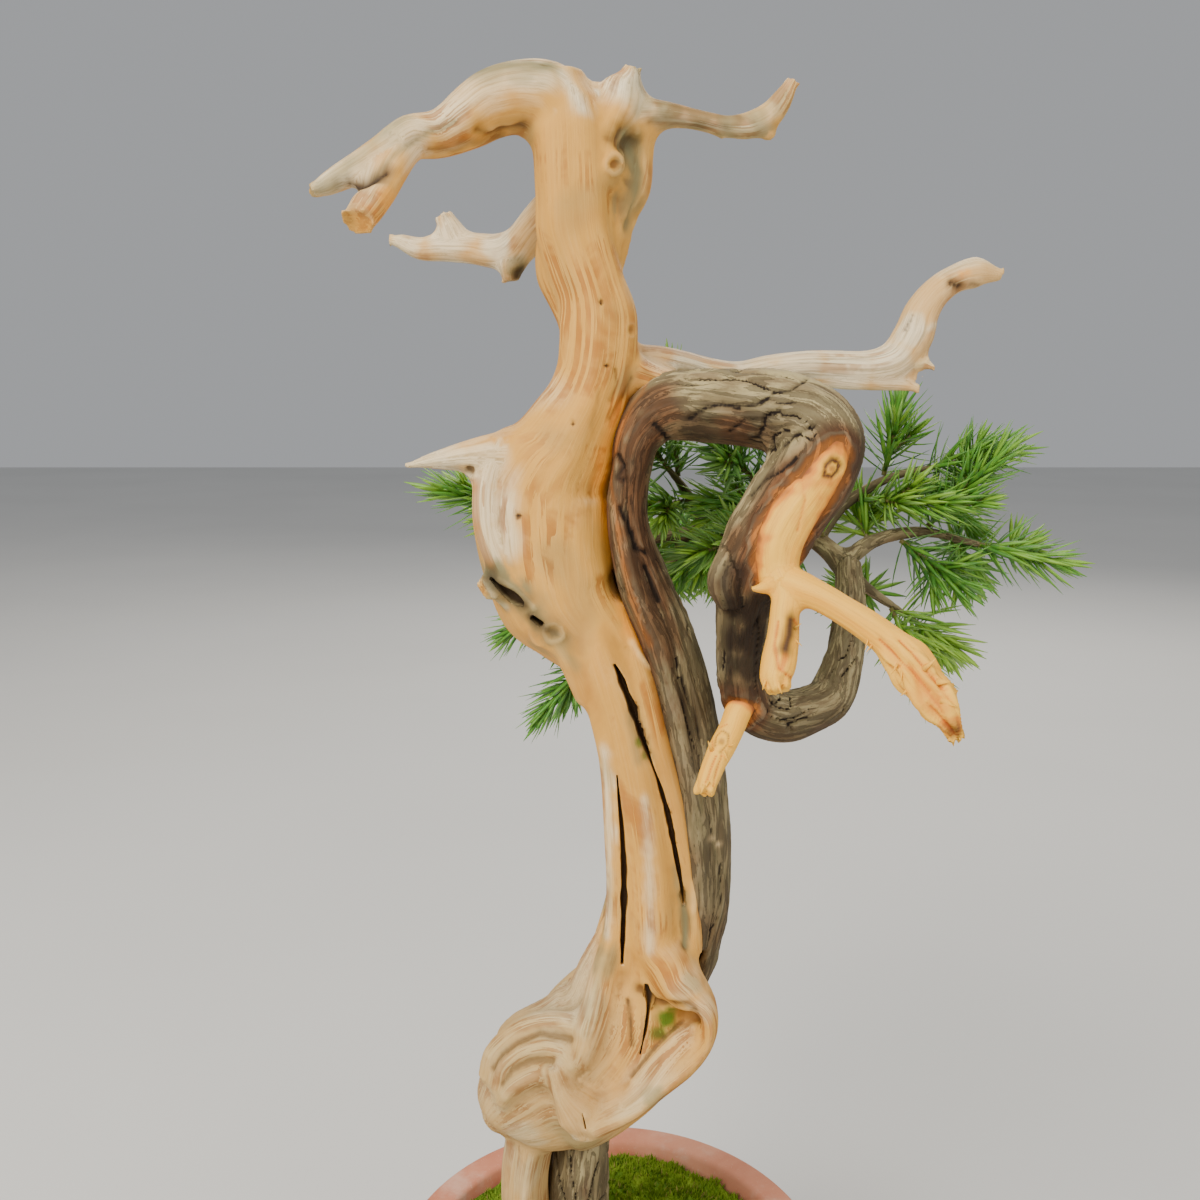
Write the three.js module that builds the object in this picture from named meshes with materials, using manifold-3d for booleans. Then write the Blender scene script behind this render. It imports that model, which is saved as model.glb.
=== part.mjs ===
// Needle juniper bonsai in a round terracotta pot.
// Millimetres, +Z up, the origin at the centre of the pot's underside, the front towards -Y.
import * as THREE from 'three';
import Module from 'manifold-3d';
import { mergeVertices } from 'three/addons/utils/BufferGeometryUtils.js';

const wasm = await Module();
wasm.setup();

// Driving dimensions of the pot
const POT_HEIGHT = 80;
const RIM_RADIUS = 64;
const RIM_WIDTH = 9;
const COLLAR_HEIGHT = 22;
const COLLAR_STEP = 3;
const COLLAR_TAPER = 2;
const FOOT_RADIUS = 45;
const POT_WALL = 7;
const POT_FLOOR = 8;
const EDGE_ROUND = 1.5;
const DRAIN_RADIUS = 5;
const DRAIN_CIRCLE = 24;
const DRAIN_COUNT = 3;
const DRAIN_SEGMENTS = 12;
const POT_SEGMENTS = 36;

// Driving dimensions of what fills the pot
const SOIL_TOP = 66;
const MOSS_EDGE = 76;
const MOSS_CROWN = 88;
const MOSS_BUMP = 0.9;
const MOSS_WAVE_ACROSS = 0.33;
const MOSS_WAVE_DEEP = 0.29;
const MOSS_RIPPLE = 0.6;
const MOSS_RIPPLE_ACROSS = 0.61;
const MOSS_RIPPLE_DEEP = 0.53;
const MOSS_RINGS = 5;
const TRUNK_FOOT = 44;

// The tree stands a little in front of the pot's axis
const TREE_PLACE = new THREE.Vector3(0, -12, 0);

// Numbers that scatter the repeatable draws
const DRAW_STEP = 12.9898;
const DRAW_START = 4.1414;
const DRAW_SPREAD = 43758.5453;
const LUMP_STEP = 31;
const LUMP_SIDE_STEP = 7;
const TWIG_STEP = 5;
const STEM_START = 400;
const SHOOT_STEP = 97;
const REACH_START = 9;

// An axis whose upright share is above this counts as upright
const NEARLY_UPRIGHT = 0.9;

// Space left between two pieces that touch
const GAP = 0.3;

// Driving dimensions of the foliage
const NEEDLE_LENGTH = 15;
const NEEDLE_BASE = 1.1;
const NEEDLE_CLEARANCE = 0.25;
const NEEDLE_LEAST = 0.85;
const NEEDLE_PLAY = 0.25;
const NEEDLE_SHARES = [1, 0.7];
const NEEDLE_TURNS = [0, 0.25, -0.25, 0.5, -0.5];
const NEEDLE_FREE_FROM = 0.3;
const ROOT_SPREAD = 66;
const TIP_SPREAD = 36;
const SPREAD_PLAY = 10;
const SHOOT_LENGTH = 24;
const SHOOT_LEAST = 0.85;
const SHOOT_PLAY = 0.3;
const SHOOT_RADIUS = 0.85;
const SHOOT_TIP_RADIUS = 0.5;
const WHORL_SPACING = 3.5;
const WHORL_TWIST = THREE.MathUtils.degToRad(34);
const SHOOT_SPACING = 10;
const SHOOT_LEAN = THREE.MathUtils.degToRad(52);
const GOLDEN_ANGLE = THREE.MathUtils.degToRad(137.5);
const MOST_SHOOTS = 50;
const BARE_TWIG = 6;
const TWIG_SWELL = 1.15;
const FORK_TURN = 0.9;
const FORK_TRIES = 7;
const FORK_START = 0.75;
const STEM_ROOM = 4;
const STEM_ROOM_FROM = 0.15;
const WOOD_ROOM = 1.1;
const BRANCH_STATIONS = 12;

const UP = new THREE.Vector3(0, 0, 1);
const FRONT_TO_BACK = new THREE.Vector3(0, 1, 0);
const SIDE_TO_SIDE = new THREE.Vector3(1, 0, 0);

// Each limb is a list of stations [x, y, z, half width, half depth], from its root to its end.

// Bare wood: the spine of the trunk and its broad shoulder
const SPINE = [
  [9, -2, 171, 12, 14], [10.5, -2, 191.5, 12, 13], [11, -2, 205.5, 11.5, 12], [8.5, -1, 227.5, 10.5, 11],
  [6, 0, 243.5, 10, 11], [3.5, 0, 254.5, 10, 11], [-0.5, 0, 265, 11.5, 12], [-4, 0, 270.5, 12, 12.5],
  [-8.5, 0, 275.5, 13.8, 12.4], [-12.8, 0.5, 281, 17, 12.8], [-15, 1, 287.5, 17.8, 13.3],
  [-16.4, 1.5, 293.8, 18.7, 14], [-17, 2, 299.5, 19.3, 14.4], [-17.2, 2.5, 304, 19.6, 14.8],
  [-16.8, 3, 309.3, 19.3, 15], [-14.8, 2.5, 314.5, 17.3, 14.8], [-12, 2, 319, 14.3, 14.2],
  [-9.4, 1.5, 324.6, 12.2, 13.2], [-6.5, 1, 330.4, 10.8, 12], [-4.8, 0.5, 335, 10.1, 11.2],
  [-3.6, 0, 339.5, 9.9, 10.5], [-3, 0, 350.5, 10, 10], [-4.5, 0, 357.5, 8.5, 9.5], [-7, 0, 364.5, 9, 9.5],
  [-9, 0, 371.5, 9.5, 9.5], [-9.5, 0, 378.5, 9, 9.5], [-10, 0, 386.5, 9, 9.5], [-10.5, 0, 394, 9.2, 9.5],
  [-11.5, 0, 401, 8, 8.5], [-12, 0, 407, 4.5, 5],
];

// Bare wood: ribs that run down the front and the back of the trunk
const FRONT_RIB_LEFT = [
  [-7, -7, 274, 1.5, 2], [-3.5, -9, 257, 3.5, 4], [-0.5, -9, 241, 3, 4], [0.7, -9, 225, 3, 4],
  [1.4, -9, 208.5, 3, 4], [0.9, -9, 195, 3.5, 4.5], [-2.5, -11, 181, 4, 4.5], [-5, -16, 173, 4, 4],
  [-7.5, -19, 165, 3, 3],
];
const FRONT_RIB_HOOK = [
  [-6.5, -6, 284, 2, 2.5], [-4.5, -7.5, 274, 4.5, 5], [-0.5, -9, 262, 6, 7], [4, -9, 246.5, 6.5, 7],
  [7, -9, 230.5, 6.5, 7.5], [9.5, -9, 214, 6.5, 7.5], [10.5, -10, 201, 6.5, 8], [11, -11, 193, 5.7, 8],
  [13.8, -13, 189.1, 6.5, 8], [16.6, -15, 185, 6.3, 8], [20.1, -17, 182.2, 5.8, 8],
  [23.5, -18, 179.6, 3.5, 7.5], [25, -18.5, 176.4, 2.4, 6.5], [24.7, -18.5, 171.1, 2.1, 6.5],
  [22.2, -18, 167.1, 3.1, 8], [18.2, -18, 163.5, 3.9, 9], [12.1, -19, 159.1, 3.8, 9.5],
  [5.7, -20, 154.4, 3.8, 10], [-1.1, -21, 151, 3.7, 9.5], [-5.3, -22, 148.9, 3.5, 8],
];
const FRONT_RIB_RIGHT = [
  [2, -5, 280, 1.5, 2], [7.5, -8, 262, 3.5, 5], [11.5, -8, 246, 3.5, 5], [15.5, -8, 230, 3.5, 5],
  [18.5, -7, 216, 3, 4.5], [20.5, -7, 202.5, 2.5, 4], [21.5, -8, 190, 2.5, 4],
];
const SHOULDER_RIDGE = [
  [-27, -5, 322, 1.5, 2.5], [-31, -5, 311, 3.5, 5], [-30.5, -6, 299, 3.5, 5], [-26, -7, 288, 3.5, 4.5],
  [-19, -9, 279, 3, 4], [-12, -10, 270, 3, 4], [-7, -9, 258, 2.5, 3.5],
];
const BACK_RIB_LEFT = [
  [-8, 12, 330, 4, 4.5], [-13, 14, 312, 5, 5], [-10, 13, 294, 5, 5], [-3, 11, 276, 4.5, 4.5],
  [2, 10, 256, 4, 4.5], [4, 10, 236, 4, 4.5], [5, 11, 214, 4.5, 5], [3, 13, 192, 5, 6],
  [-2, 14, 172, 5.5, 7],
];
const BACK_RIB_RIGHT = [
  [-4, 9, 396, 4, 4], [-6, 9, 378, 4, 4], [-3, 9, 360, 4, 4], [-1, 10, 342, 4.5, 4.5],
  [-4, 13, 324, 5, 5], [-2, 13, 306, 5, 4.5], [2, 11, 290, 4, 4],
];

// Bare wood: the knotted swelling above the soil and the thin neck that carries it
const BASE_BODY = [
  [10.3, 2, 189.3, 12.6, 13], [7, 0, 175.5, 17.8, 16], [6, -1, 168.4, 20, 18],
  [2.8, -1, 162, 21.1, 19], [-1.7, -1, 156.5, 21.4, 19.5], [-6.5, -1, 152.3, 21.5, 19.5],
  [-11.5, -1, 149.2, 21.8, 19], [-16.5, -1, 147.5, 21.5, 17.5], [-20.2, -1, 144.6, 19.8, 16.5],
  [-23.7, -1, 142, 17.7, 15], [-27, -1, 139.6, 15, 13.5], [-29.6, -1, 137.4, 11.6, 11.5],
  [-31.6, -1, 135.2, 7.4, 8], [-32.8, -1, 134, 3.6, 4],
];
const BASE_RIDGE_OUTER = [
  [-33.4, -8.6, 152.9, 2.4, 2.4], [-32.1, -7.8, 158.2, 2.6, 2.6], [-28.2, -7.8, 163.2, 2.6, 2.6],
  [-22.6, -8.4, 167.3, 2.6, 2.6], [-15.6, -11.2, 170.6, 2.6, 2.6], [-9.2, -14.7, 171.5, 2.6, 2.6],
  [-4.3, -17.2, 170.1, 2.2, 2.2],
];
const BASE_RIDGE_INNER = [
  [-29.3, -13, 152.1, 2.4, 2.4], [-27.7, -12.6, 157.9, 2.6, 2.6], [-23.4, -13.2, 162.6, 2.6, 2.6],
  [-17.3, -14.8, 165.6, 2.6, 2.6], [-12.8, -16.8, 165.4, 2.6, 2.6], [-9.7, -18.4, 162.4, 2.2, 2.2],
];
const BASE_LEDGE = [
  [-28.8, -13.8, 148.5, 2.2, 2.2], [-25.2, -15.1, 153.7, 2.6, 2.6], [-20.7, -16.5, 157.5, 2.6, 2.6],
  [-16.2, -17.5, 159.9, 2.2, 2.2],
];
const BASE_BEAK = [
  [-14.8, -20, 162.2, 1.8, 3], [-12.4, -21.5, 156.6, 3.1, 5], [-9, -22.5, 151.7, 6, 6],
  [-7.3, -23.5, 146.5, 4.3, 5], [-7.3, -24.5, 144.6, 2.3, 3],
];
const BASE_TONGUE = [
  [21.7, -16, 169.8, 1.4, 3], [18.2, -18.5, 167.9, 2.6, 5], [13.1, -20, 163.1, 2.9, 6.5],
  [7.9, -22, 157.6, 2.8, 7], [1.7, -23, 152.9, 2.4, 6],
];
const BASE_BACK = [
  [9, 9, 186, 6, 8], [2, 13, 172, 8, 9], [-10, 14, 158, 10, 9], [-16, 12, 144, 9, 8], [-16, 8, 132, 7, 7],
];
const NECK = [
  [-19.5, 1, 142, 8.5, 11], [-22, 1, 130, 7, 10.5], [-24, 0, 116, 6.5, 11], [-23, 0, 100, 6.5, 11],
  [-21.5, 0, 86, 7, 11.5], [-20, 0, 68, 8, 12], [-20, 0, TRUNK_FOOT, 6.5, 9],
];

// Bare wood: the broken top with its branches
const TOP_LEFT = [
  [-8.5, 1, 383, 7, 8], [-11, 1, 394, 8.5, 9], [-15, 0, 400.6, 9, 9], [-18.5, 0, 401.3, 9.2, 9],
  [-23.7, -1, 401, 8.4, 9], [-29.3, -2, 399.2, 8, 8.5], [-33.8, -3.5, 396, 7.2, 8],
  [-38, -4.5, 393.3, 6, 7.5], [-41.5, -6, 391.8, 5.4, 6.5], [-46.5, -9, 391, 5, 6],
  [-49.5, -11, 389, 4.5, 5.5],
];
const TOP_LEFT_FORK_UP = [
  [-45, -8, 391.5, 4.5, 5.5], [-51.5, -11, 388, 4, 5], [-57.5, -13, 384, 3.5, 4.5], [-62.5, -15, 381, 3, 4],
  [-66, -16, 379, 2.5, 3], [-68, -17, 378, 1.5, 2],
];
const TOP_LEFT_FORK_LOW = [
  [-46, -9, 391, 4, 4.6], [-50, -14, 384, 4, 4.8], [-53, -19, 377.5, 4, 5], [-55, -24, 372.6, 4, 4.6],
  [-56, -27, 370.2, 3.5, 4.2],
];
const TOP_RIGHT_STUB = [
  [-3, 1, 384, 5.5, 7], [0, 1, 394, 6.5, 7], [2.5, 1, 400.5, 6.3, 6.3], [3.2, 1, 404.5, 5.4, 5.2],
  [4.2, 1, 406.7, 3.4, 3.8], [4.7, 1, 408.4, 1.6, 2],
];
const TOP_RIGHT = [
  [-1, 0, 396.5, 4, 4.5], [6.5, 1, 398, 3.8, 4.2], [12.5, 3, 398.3, 3.4, 3.7], [20, 5, 397.6, 2.6, 3.2],
  [27.5, 7, 396.4, 2.6, 3], [33.5, 8, 396.8, 3.5, 3.2], [38.5, 9, 399.5, 3.4, 3.2],
  [41.8, 10, 403.8, 2.8, 2.6], [44, 10, 407.6, 1.6, 1.8],
];
const TOP_RIGHT_BARB = [[36.5, 8.5, 398, 2.4, 2.2], [38.2, 9, 395.6, 1.6, 1.6], [39, 9, 394, 0.9, 1]];
const TOP_RIGHT_SPUR = [[27, 7, 396.5, 1.8, 2], [27.8, 7, 394, 0.9, 1]];
const TOP_FLANGE = [
  [-3, 3, 355, 3.5, 5], [-0.5, 4, 366, 3, 5], [3, 5, 374.5, 3, 5], [6, 5, 381.5, 3.5, 5],
  [7, 5, 388.5, 3, 5], [6.5, 4, 394.5, 3.5, 5], [2, 2, 400, 3.5, 5],
];
const TOP_FLANGE_FLOOR = [
  [-3, 5, 356, 3, 3], [-1, 5, 366, 5, 3], [1, 5, 378, 6, 3], [1.5, 4, 390, 6, 3], [0, 3, 399, 4, 3],
];
const TOP_EDGE_STRAND = [
  [-14, 6, 376, 2, 3], [-15.7, 6, 370.7, 2.8, 4], [-16.1, 6, 365.5, 3.2, 4], [-15.7, 7, 360.5, 3.2, 4],
  [-14, 7, 356, 2.5, 4], [-11.6, 6, 350.6, 2.4, 4], [-11, 5, 345.7, 1.7, 3],
];
const TOP_KNOT = [[-2, 2, 385, 2.5, 2.5], [0.5, -3.5, 386, 2.2, 2.2], [1, -5.5, 386, 1.4, 1.4]];

// Bare wood: dead branches at the back and the sides
const BACK_LEFT = [
  [-6, 5, 384, 5.5, 7], [-13, 16, 380.5, 5, 6], [-19, 26, 376.5, 4.5, 5.5], [-25, 34, 371, 5, 5.5],
  [-31, 38, 370, 4.8, 5], [-37, 41, 371, 4.6, 4.5], [-45, 43, 371.5, 4, 4], [-53, 45, 371.5, 3, 3.3],
  [-58.5, 46, 373.5, 2, 2.3], [-61.5, 47, 374, 1, 1.4],
];
const BACK_LEFT_HORN = [
  [-40, 42, 371, 3.5, 3.5], [-42.8, 42, 374, 4.1, 3.5], [-44.4, 42, 377.2, 3.6, 3],
  [-45.7, 42, 380.1, 2.2, 2.4],
];
const BACK_LEFT_LUMP = [[-24, 35, 372, 4, 4.5], [-27, 35, 365, 4, 4.5], [-27, 35, 362, 2, 2.5]];
const RIGHT_ARM = [
  [-2, 4, 343, 5, 7], [4.5, 8, 341, 4.2, 6.2], [10, 11, 341.2, 3.8, 5.8], [18, 16, 340.2, 3.3, 5],
  [26, 21, 338.5, 3.2, 4.5], [34, 25, 337.6, 3.2, 4.2], [42.7, 28, 339, 3.6, 4],
  [52.6, 31, 339.9, 3.9, 4.3], [62.7, 34, 339.5, 4.3, 4.3], [71.9, 36, 339.3, 4.8, 4.6],
  [78.5, 37, 341.4, 5.4, 5], [83.4, 38.5, 347.5, 6, 5], [85.7, 40, 353.9, 5.3, 4.8],
  [89.7, 41.5, 359.3, 4.5, 4.4], [95.4, 43, 363.2, 4.1, 4.3], [101.8, 44.5, 365, 4.8, 4],
  [108.8, 46, 364.4, 1.6, 1.6],
];
const RIGHT_ARM_SPLINTER = [[76, 36, 341, 2.5, 2.2], [83.5, 36, 340.5, 1.5, 1.5], [89, 36, 339, 0.7, 0.8]];
const RIGHT_ARM_ROOT = [
  [1, 2, 338.5, 5.5, 7], [7.5, 2, 336.5, 5, 7], [13, 2, 335.2, 4, 6.5], [18.5, 1, 334.8, 2.2, 4],
];
const RIGHT_ARM_KEEL = [
  [49, 31, 337.5, 2, 2], [62.5, 33, 335.2, 2.2, 2], [74, 35, 334.5, 1.9, 1.8], [81, 36, 334, 1.6, 1.6],
  [85, 36, 333, 0.9, 1.1],
];
const LEFT_THORN = [
  [-21, 0, 317, 6.5, 8], [-30, -2, 317.5, 5.5, 7], [-35.5, -4, 317.5, 4, 5.5], [-40.5, -6, 317, 3, 4],
  [-45, -8, 316.5, 2, 2.5], [-50, -9, 315.5, 0.6, 0.9],
];
const KNOT_UPPER = [[-25, 0, 287, 4, 4.5], [-29, -6, 286, 3.8, 4], [-31, -9, 285.5, 2.6, 2.8]];
const KNOT_LOWER = [[-13, -2, 276, 4.5, 5], [-16.5, -9, 274.5, 4, 4.4], [-17.5, -12, 274, 2.8, 3]];

// Clefts and hollows weathered into the bare wood
const CLEFT_FRONT = [
  [2.5, -19, 268, 0.5, 3], [7, -19, 256, 1, 5], [11, -19, 243, 1.4, 6], [14.5, -19, 228, 1.4, 6],
  [17.5, -19, 212, 1.3, 6], [19.5, -19, 196, 0.6, 4],
];
const CLEFT_LEFT = [
  [1, -18, 250, 0.5, 3], [3, -18, 238, 1, 4.5], [4, -18, 222, 1.2, 5], [4, -18, 204, 1.2, 5],
  [2, -20, 190, 1.2, 5], [2, -24, 176, 1.2, 6], [5, -28, 166, 0.6, 4],
];
const CLEFT_BASE = [
  [11.5, -21, 181, 1, 6], [11, -22, 175, 2, 7], [9.5, -22, 168, 1.6, 6.5], [8, -22, 161, 0.8, 5],
];
const CLEFT_FORK = [[-54, -22, 380, 1.5, 1.5], [-50.5, -10, 383, 2, 2.5], [-49, -6, 384, 1, 1]];
const HOLLOW_KNOT_UPPER = [[-34, -16, 285, 2, 1.4], [-29.5, -8, 286, 1.6, 1.2]];
const HOLLOW_KNOT_LOWER = [[-20, -19, 273.5, 1.8, 1.8], [-17.5, -10, 274.5, 1.3, 1.3]];
const HOLLOW_FLANGE = [[3.5, -6, 392, 2, 5], [4.5, -5, 384, 2.2, 5], [3, -5, 374, 1, 4]];

// Bark: the live vein up the back of the trunk and the branch that it feeds
const VEIN = [
  [-8, 3, TRUNK_FOOT, 8.5, 9], [-8, 3, 68, 9.5, 10], [-8.5, 3, 84, 9, 9.5], [-9, 4, 100, 8.5, 9],
  [-9, 6, 115, 8.5, 8.5], [-7, 12, 129, 8, 8], [2, 19, 143, 8.5, 7.5], [11, 19, 156, 8.5, 7.5],
  [19, 13, 168, 6.5, 7.5], [24, 7, 178, 4.5, 7.5], [25.5, 4, 187.5, 4.5, 8], [27, 2, 200, 4.8, 8.5],
  [26.5, 1, 214.5, 5, 8.5], [25, 0, 229, 5.2, 8.5], [22.5, 0, 243, 6, 8.5], [19.5, 0, 256.5, 6, 8.5],
  [15.5, 0, 271, 5.5, 8.5], [11, 0, 282.5, 5, 8.5], [7, 0, 292.5, 4.5, 8.5], [4.5, 0, 303, 4.2, 8.5],
  [4.5, 0, 312.5, 4.6, 8.5], [5.5, -1, 321, 5.8, 9], [9.5, -1, 327, 7.5, 9.5], [14.5, -2, 329.5, 8.5, 9.5],
  [21.5, -4, 330, 8.7, 9.5], [30.5, -8, 329.5, 9.2, 10], [39.5, -11, 328.5, 10, 10.5],
  [45.5, -14, 325.5, 10.5, 11], [48, -17, 320.5, 11, 11], [45.5, -19, 313.5, 10.5, 11],
  [40.5, -20, 306, 10, 10.5], [36, -21, 298.5, 9.7, 10.5], [33, -20, 291.5, 8.5, 9.5], [32, -17, 284, 7, 8],
  [32, -14, 274.5, 6.4, 7], [32.5, -11, 264, 6.5, 7], [35.5, -8, 255.5, 6.6, 7], [41.5, -5, 251.5, 6.6, 6.8],
  [49.5, 0, 251, 6.2, 6.5], [57, 6, 252.5, 6, 6.3], [61.5, 13, 257.5, 5.5, 5.8], [64.5, 21, 264, 5, 5],
  [67, 29, 271, 4.8, 4.7], [68.5, 37, 276.5, 4.4, 4.3], [69.5, 45, 282.5, 3.8, 3.8],
];
const VEIN_FLANK = [
  [-8, 11, 122, 5, 6], [3, 18, 140, 7, 6], [14, 15, 160, 7, 7], [18, 10, 180, 6, 7], [19, 8, 205, 6, 7],
  [18, 8, 230, 6, 7], [14, 9, 255, 6, 7], [8, 10, 275, 5.5, 6.5], [3, 11, 295, 5, 6], [1, 10, 312, 4.5, 5.5],
];
const BARK_KNUCKLE = [[29, -21, 296, 4, 5], [26.5, -24, 290, 4.6, 5], [28, -23, 284.5, 3.6, 4]];

// Twigs of the crown, rooted in the end of the branch; one of them grows straight backwards
const BACKWARD_TWIG = [[48, 68, 292, 2.1], [44, 86, 293, 1.6], [38, 101, 289, 1.1]];
const TWIGS = [
  [[69, 43, 281, 3.4], [62, 58, 288, 3], [48, 68, 292, 2.7], [28, 74, 289, 2.3], [8, 78, 284, 1.8],
    [-1, 78, 279, 1.4], [-9, 77, 273, 1.1]],
  [[68, 46, 283, 2.8], [80, 58, 288, 2.3], [95, 62, 290, 1.8], [113, 63, 286, 1.1]],
  [[62, 58, 288, 2.4], [72, 66, 298, 2], [86, 68, 306, 1.5], [98, 68, 309, 1.1]],
  [[48, 68, 292, 2.2], [50, 74, 304, 1.6], [54, 78, 312, 1.1]],
  [[69, 44, 281, 2.2], [80, 54, 272, 1.7], [89, 58, 266, 1.1]],
  [[8, 78, 284, 1.8], [-9, 76, 291, 1.5], [-24, 73, 295, 1.1]],
  BACKWARD_TWIG,
  [[28, 74, 289, 2], [12, 80, 268, 1.5], [-3, 80, 250, 1.1]],
  [[30, 73, 289, 1.9], [24, 64, 301, 1.5], [17, 56, 310, 1.1]],
  [[62, 58, 288, 2.2], [51, 50, 299, 1.7], [42, 45, 307, 1.1]],
  [[58, 55, 292, 1.8], [48, 43, 293, 1.4], [41, 37, 292, 1.1]],
];

// Fresh wood laid bare by peeling the bark
const PEELED_PATCH = [
  [51.5, -24, 324, 2, 3.5], [49.5, -25.5, 318, 4.5, 4.5], [45, -26.5, 311.5, 5.5, 5],
  [40, -27.5, 304.5, 6, 5.5], [37.5, -28, 298, 6, 5.5], [38, -28.5, 290.5, 5, 5],
];
const PEELED_FRONT = [
  [38, -29, 293, 4, 5], [39.3, -32, 288.7, 3.4, 4.5], [38.8, -34.5, 284.6, 3.4, 4],
  [38.2, -37, 279.8, 3.7, 3.9], [36.9, -40, 274.4, 4.2, 4.2], [36.1, -42, 271.2, 3.9, 4],
  [36.4, -43.5, 268.9, 2.6, 3],
];
const PEELED_RIGHT = [
  [38, -29, 291, 4, 5], [41.8, -33, 290, 4.3, 4.5], [46.3, -36, 288.4, 3.6, 4],
  [51.3, -38.5, 285.7, 3.4, 3.7], [56.4, -41, 282.6, 3.6, 3.8], [60.5, -43, 279.5, 3.8, 4],
  [63.2, -45.5, 276.6, 4.5, 4.6], [66, -47.5, 273, 5, 5], [68.9, -49.5, 269.4, 5, 5],
  [71.1, -51, 266.2, 3.9, 4], [72.8, -52, 263.2, 2.3, 2.6], [73.8, -53, 260.5, 1, 1.2],
];
const PEELED_RIGHT_BARB = [[66, -48, 274, 2.5, 2.5], [70.5, -49, 272.5, 1.8, 2], [73, -50, 270, 0.7, 0.8]];
const PEELED_THORN = [[37, -31, 291, 2, 2.5], [33.5, -34, 290, 1.4, 1.5], [31, -35, 290, 0.4, 0.5]];
const PEELED_LOW = [
  [34, -11, 259, 4, 4.5], [31.3, -14, 255.5, 3.5, 4], [29.3, -17, 251.7, 3.4, 3.6],
  [26.8, -20, 248, 3.5, 3.3], [24.6, -23, 244.8, 3, 2.9], [22.6, -26.5, 241.2, 2.7, 2.7],
  [21.8, -28, 239.6, 2.4, 2.5],
];

// Cross-sections of the limbs
const RIBBED = { sides: 12, ridges: 5, ridgeDepth: 0.05 };
const NECKED = { sides: 10, ridges: 4, ridgeDepth: 0.05 };
const BROAD = { sides: 10, lumps: 0.05 };
const ROUND = { sides: 8, lumps: 0.05 };
const THIN = { sides: 6, lumps: 0.06 };
const LYING = { sides: 8, lumps: 0.06, across: UP };
const FACING = { sides: 6, lumps: 0.06, across: UP };
const HANGING = { sides: 8, lumps: 0.05, across: SIDE_TO_SIDE };
const TWIG = { sides: 6, lumps: 0.08 };
const BACK_TWIG = { sides: 6, lumps: 0.08, across: UP };
const SLIT = { sides: 6 };
const BORED = { sides: 6, across: UP };
const RIDGE_TURN = 0.35;

// The bare wood of the trunk, its top and its dead branches
const BARE_WOOD = [
  [SPINE, RIBBED], [FRONT_RIB_LEFT, THIN], [FRONT_RIB_HOOK, ROUND], [FRONT_RIB_RIGHT, THIN],
  [SHOULDER_RIDGE, THIN], [BACK_RIB_LEFT, ROUND], [BACK_RIB_RIGHT, THIN], [BASE_BODY, RIBBED],
  [BASE_RIDGE_OUTER, THIN], [BASE_RIDGE_INNER, THIN], [BASE_LEDGE, THIN], [BASE_BEAK, THIN],
  [BASE_TONGUE, THIN], [BASE_BACK, ROUND], [NECK, NECKED], [TOP_LEFT, BROAD], [TOP_LEFT_FORK_UP, ROUND],
  [TOP_LEFT_FORK_LOW, HANGING], [TOP_RIGHT_STUB, ROUND], [TOP_RIGHT, ROUND], [TOP_RIGHT_BARB, THIN],
  [TOP_RIGHT_SPUR, THIN], [TOP_FLANGE, THIN], [TOP_FLANGE_FLOOR, THIN], [TOP_EDGE_STRAND, THIN],
  [TOP_KNOT, FACING], [BACK_LEFT, LYING], [BACK_LEFT_HORN, THIN], [BACK_LEFT_LUMP, THIN],
  [RIGHT_ARM, ROUND], [RIGHT_ARM_ROOT, THIN], [RIGHT_ARM_SPLINTER, THIN], [RIGHT_ARM_KEEL, THIN],
  [LEFT_THORN, ROUND], [KNOT_UPPER, FACING], [KNOT_LOWER, FACING],
];

// The clefts between the ribs and the hollows of old knots
const CLEFTS = [
  [CLEFT_FRONT, SLIT], [CLEFT_LEFT, SLIT], [CLEFT_BASE, SLIT], [CLEFT_FORK, BORED],
  [HOLLOW_KNOT_UPPER, BORED], [HOLLOW_KNOT_LOWER, BORED], [HOLLOW_FLANGE, SLIT],
];

// The vein and the branch in their bark, with the twigs of the crown
const BARKED_WOOD = [
  [VEIN, BROAD], [VEIN_FLANK, ROUND], [BARK_KNUCKLE, THIN],
  ...TWIGS.map((stations) => [stations, stations === BACKWARD_TWIG ? BACK_TWIG : TWIG]),
];

// The two peeled stubs that leave the elbow of the branch, with the peeled patch between them
const PEELED_ELBOW = [
  [PEELED_PATCH, ROUND], [PEELED_FRONT, ROUND], [PEELED_RIGHT, ROUND], [PEELED_RIGHT_BARB, THIN],
  [PEELED_THORN, THIN],
];
const PEELED_STUB = [[PEELED_LOW, ROUND]];

// A repeatable number from 0 to 1 for each whole number
function unitDraw(index) {
  const scattered = Math.sin(index * DRAW_STEP + DRAW_START) * DRAW_SPREAD;
  return scattered - Math.floor(scattered);
}

// A closed geometry as a solid that can be joined and cut
function solid(geometry) {
  const bare = new THREE.BufferGeometry();
  bare.setAttribute('position', geometry.attributes.position);
  bare.setIndex(geometry.index);
  const merged = mergeVertices(bare, 1e-4);
  return new wasm.Manifold(new wasm.Mesh({
    numProp: 3,
    vertProperties: new Float32Array(merged.attributes.position.array),
    triVerts: new Uint32Array(merged.index.array),
  }));
}

// The largest body of a solid, so that no loose scrap is kept
function largestBody(body) {
  const pieces = body.decompose();
  return pieces.reduce((best, piece) => (piece.volume() > best.volume() ? piece : best));
}

// A solid as a geometry
function geometryOf(body) {
  const mesh = body.getMesh();
  const geometry = new THREE.BufferGeometry();
  geometry.setAttribute('position', new THREE.BufferAttribute(new Float32Array(mesh.vertProperties), 3));
  geometry.setIndex(new THREE.BufferAttribute(new Uint32Array(mesh.triVerts), 1));
  geometry.computeVertexNormals();
  return geometry;
}

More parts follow.
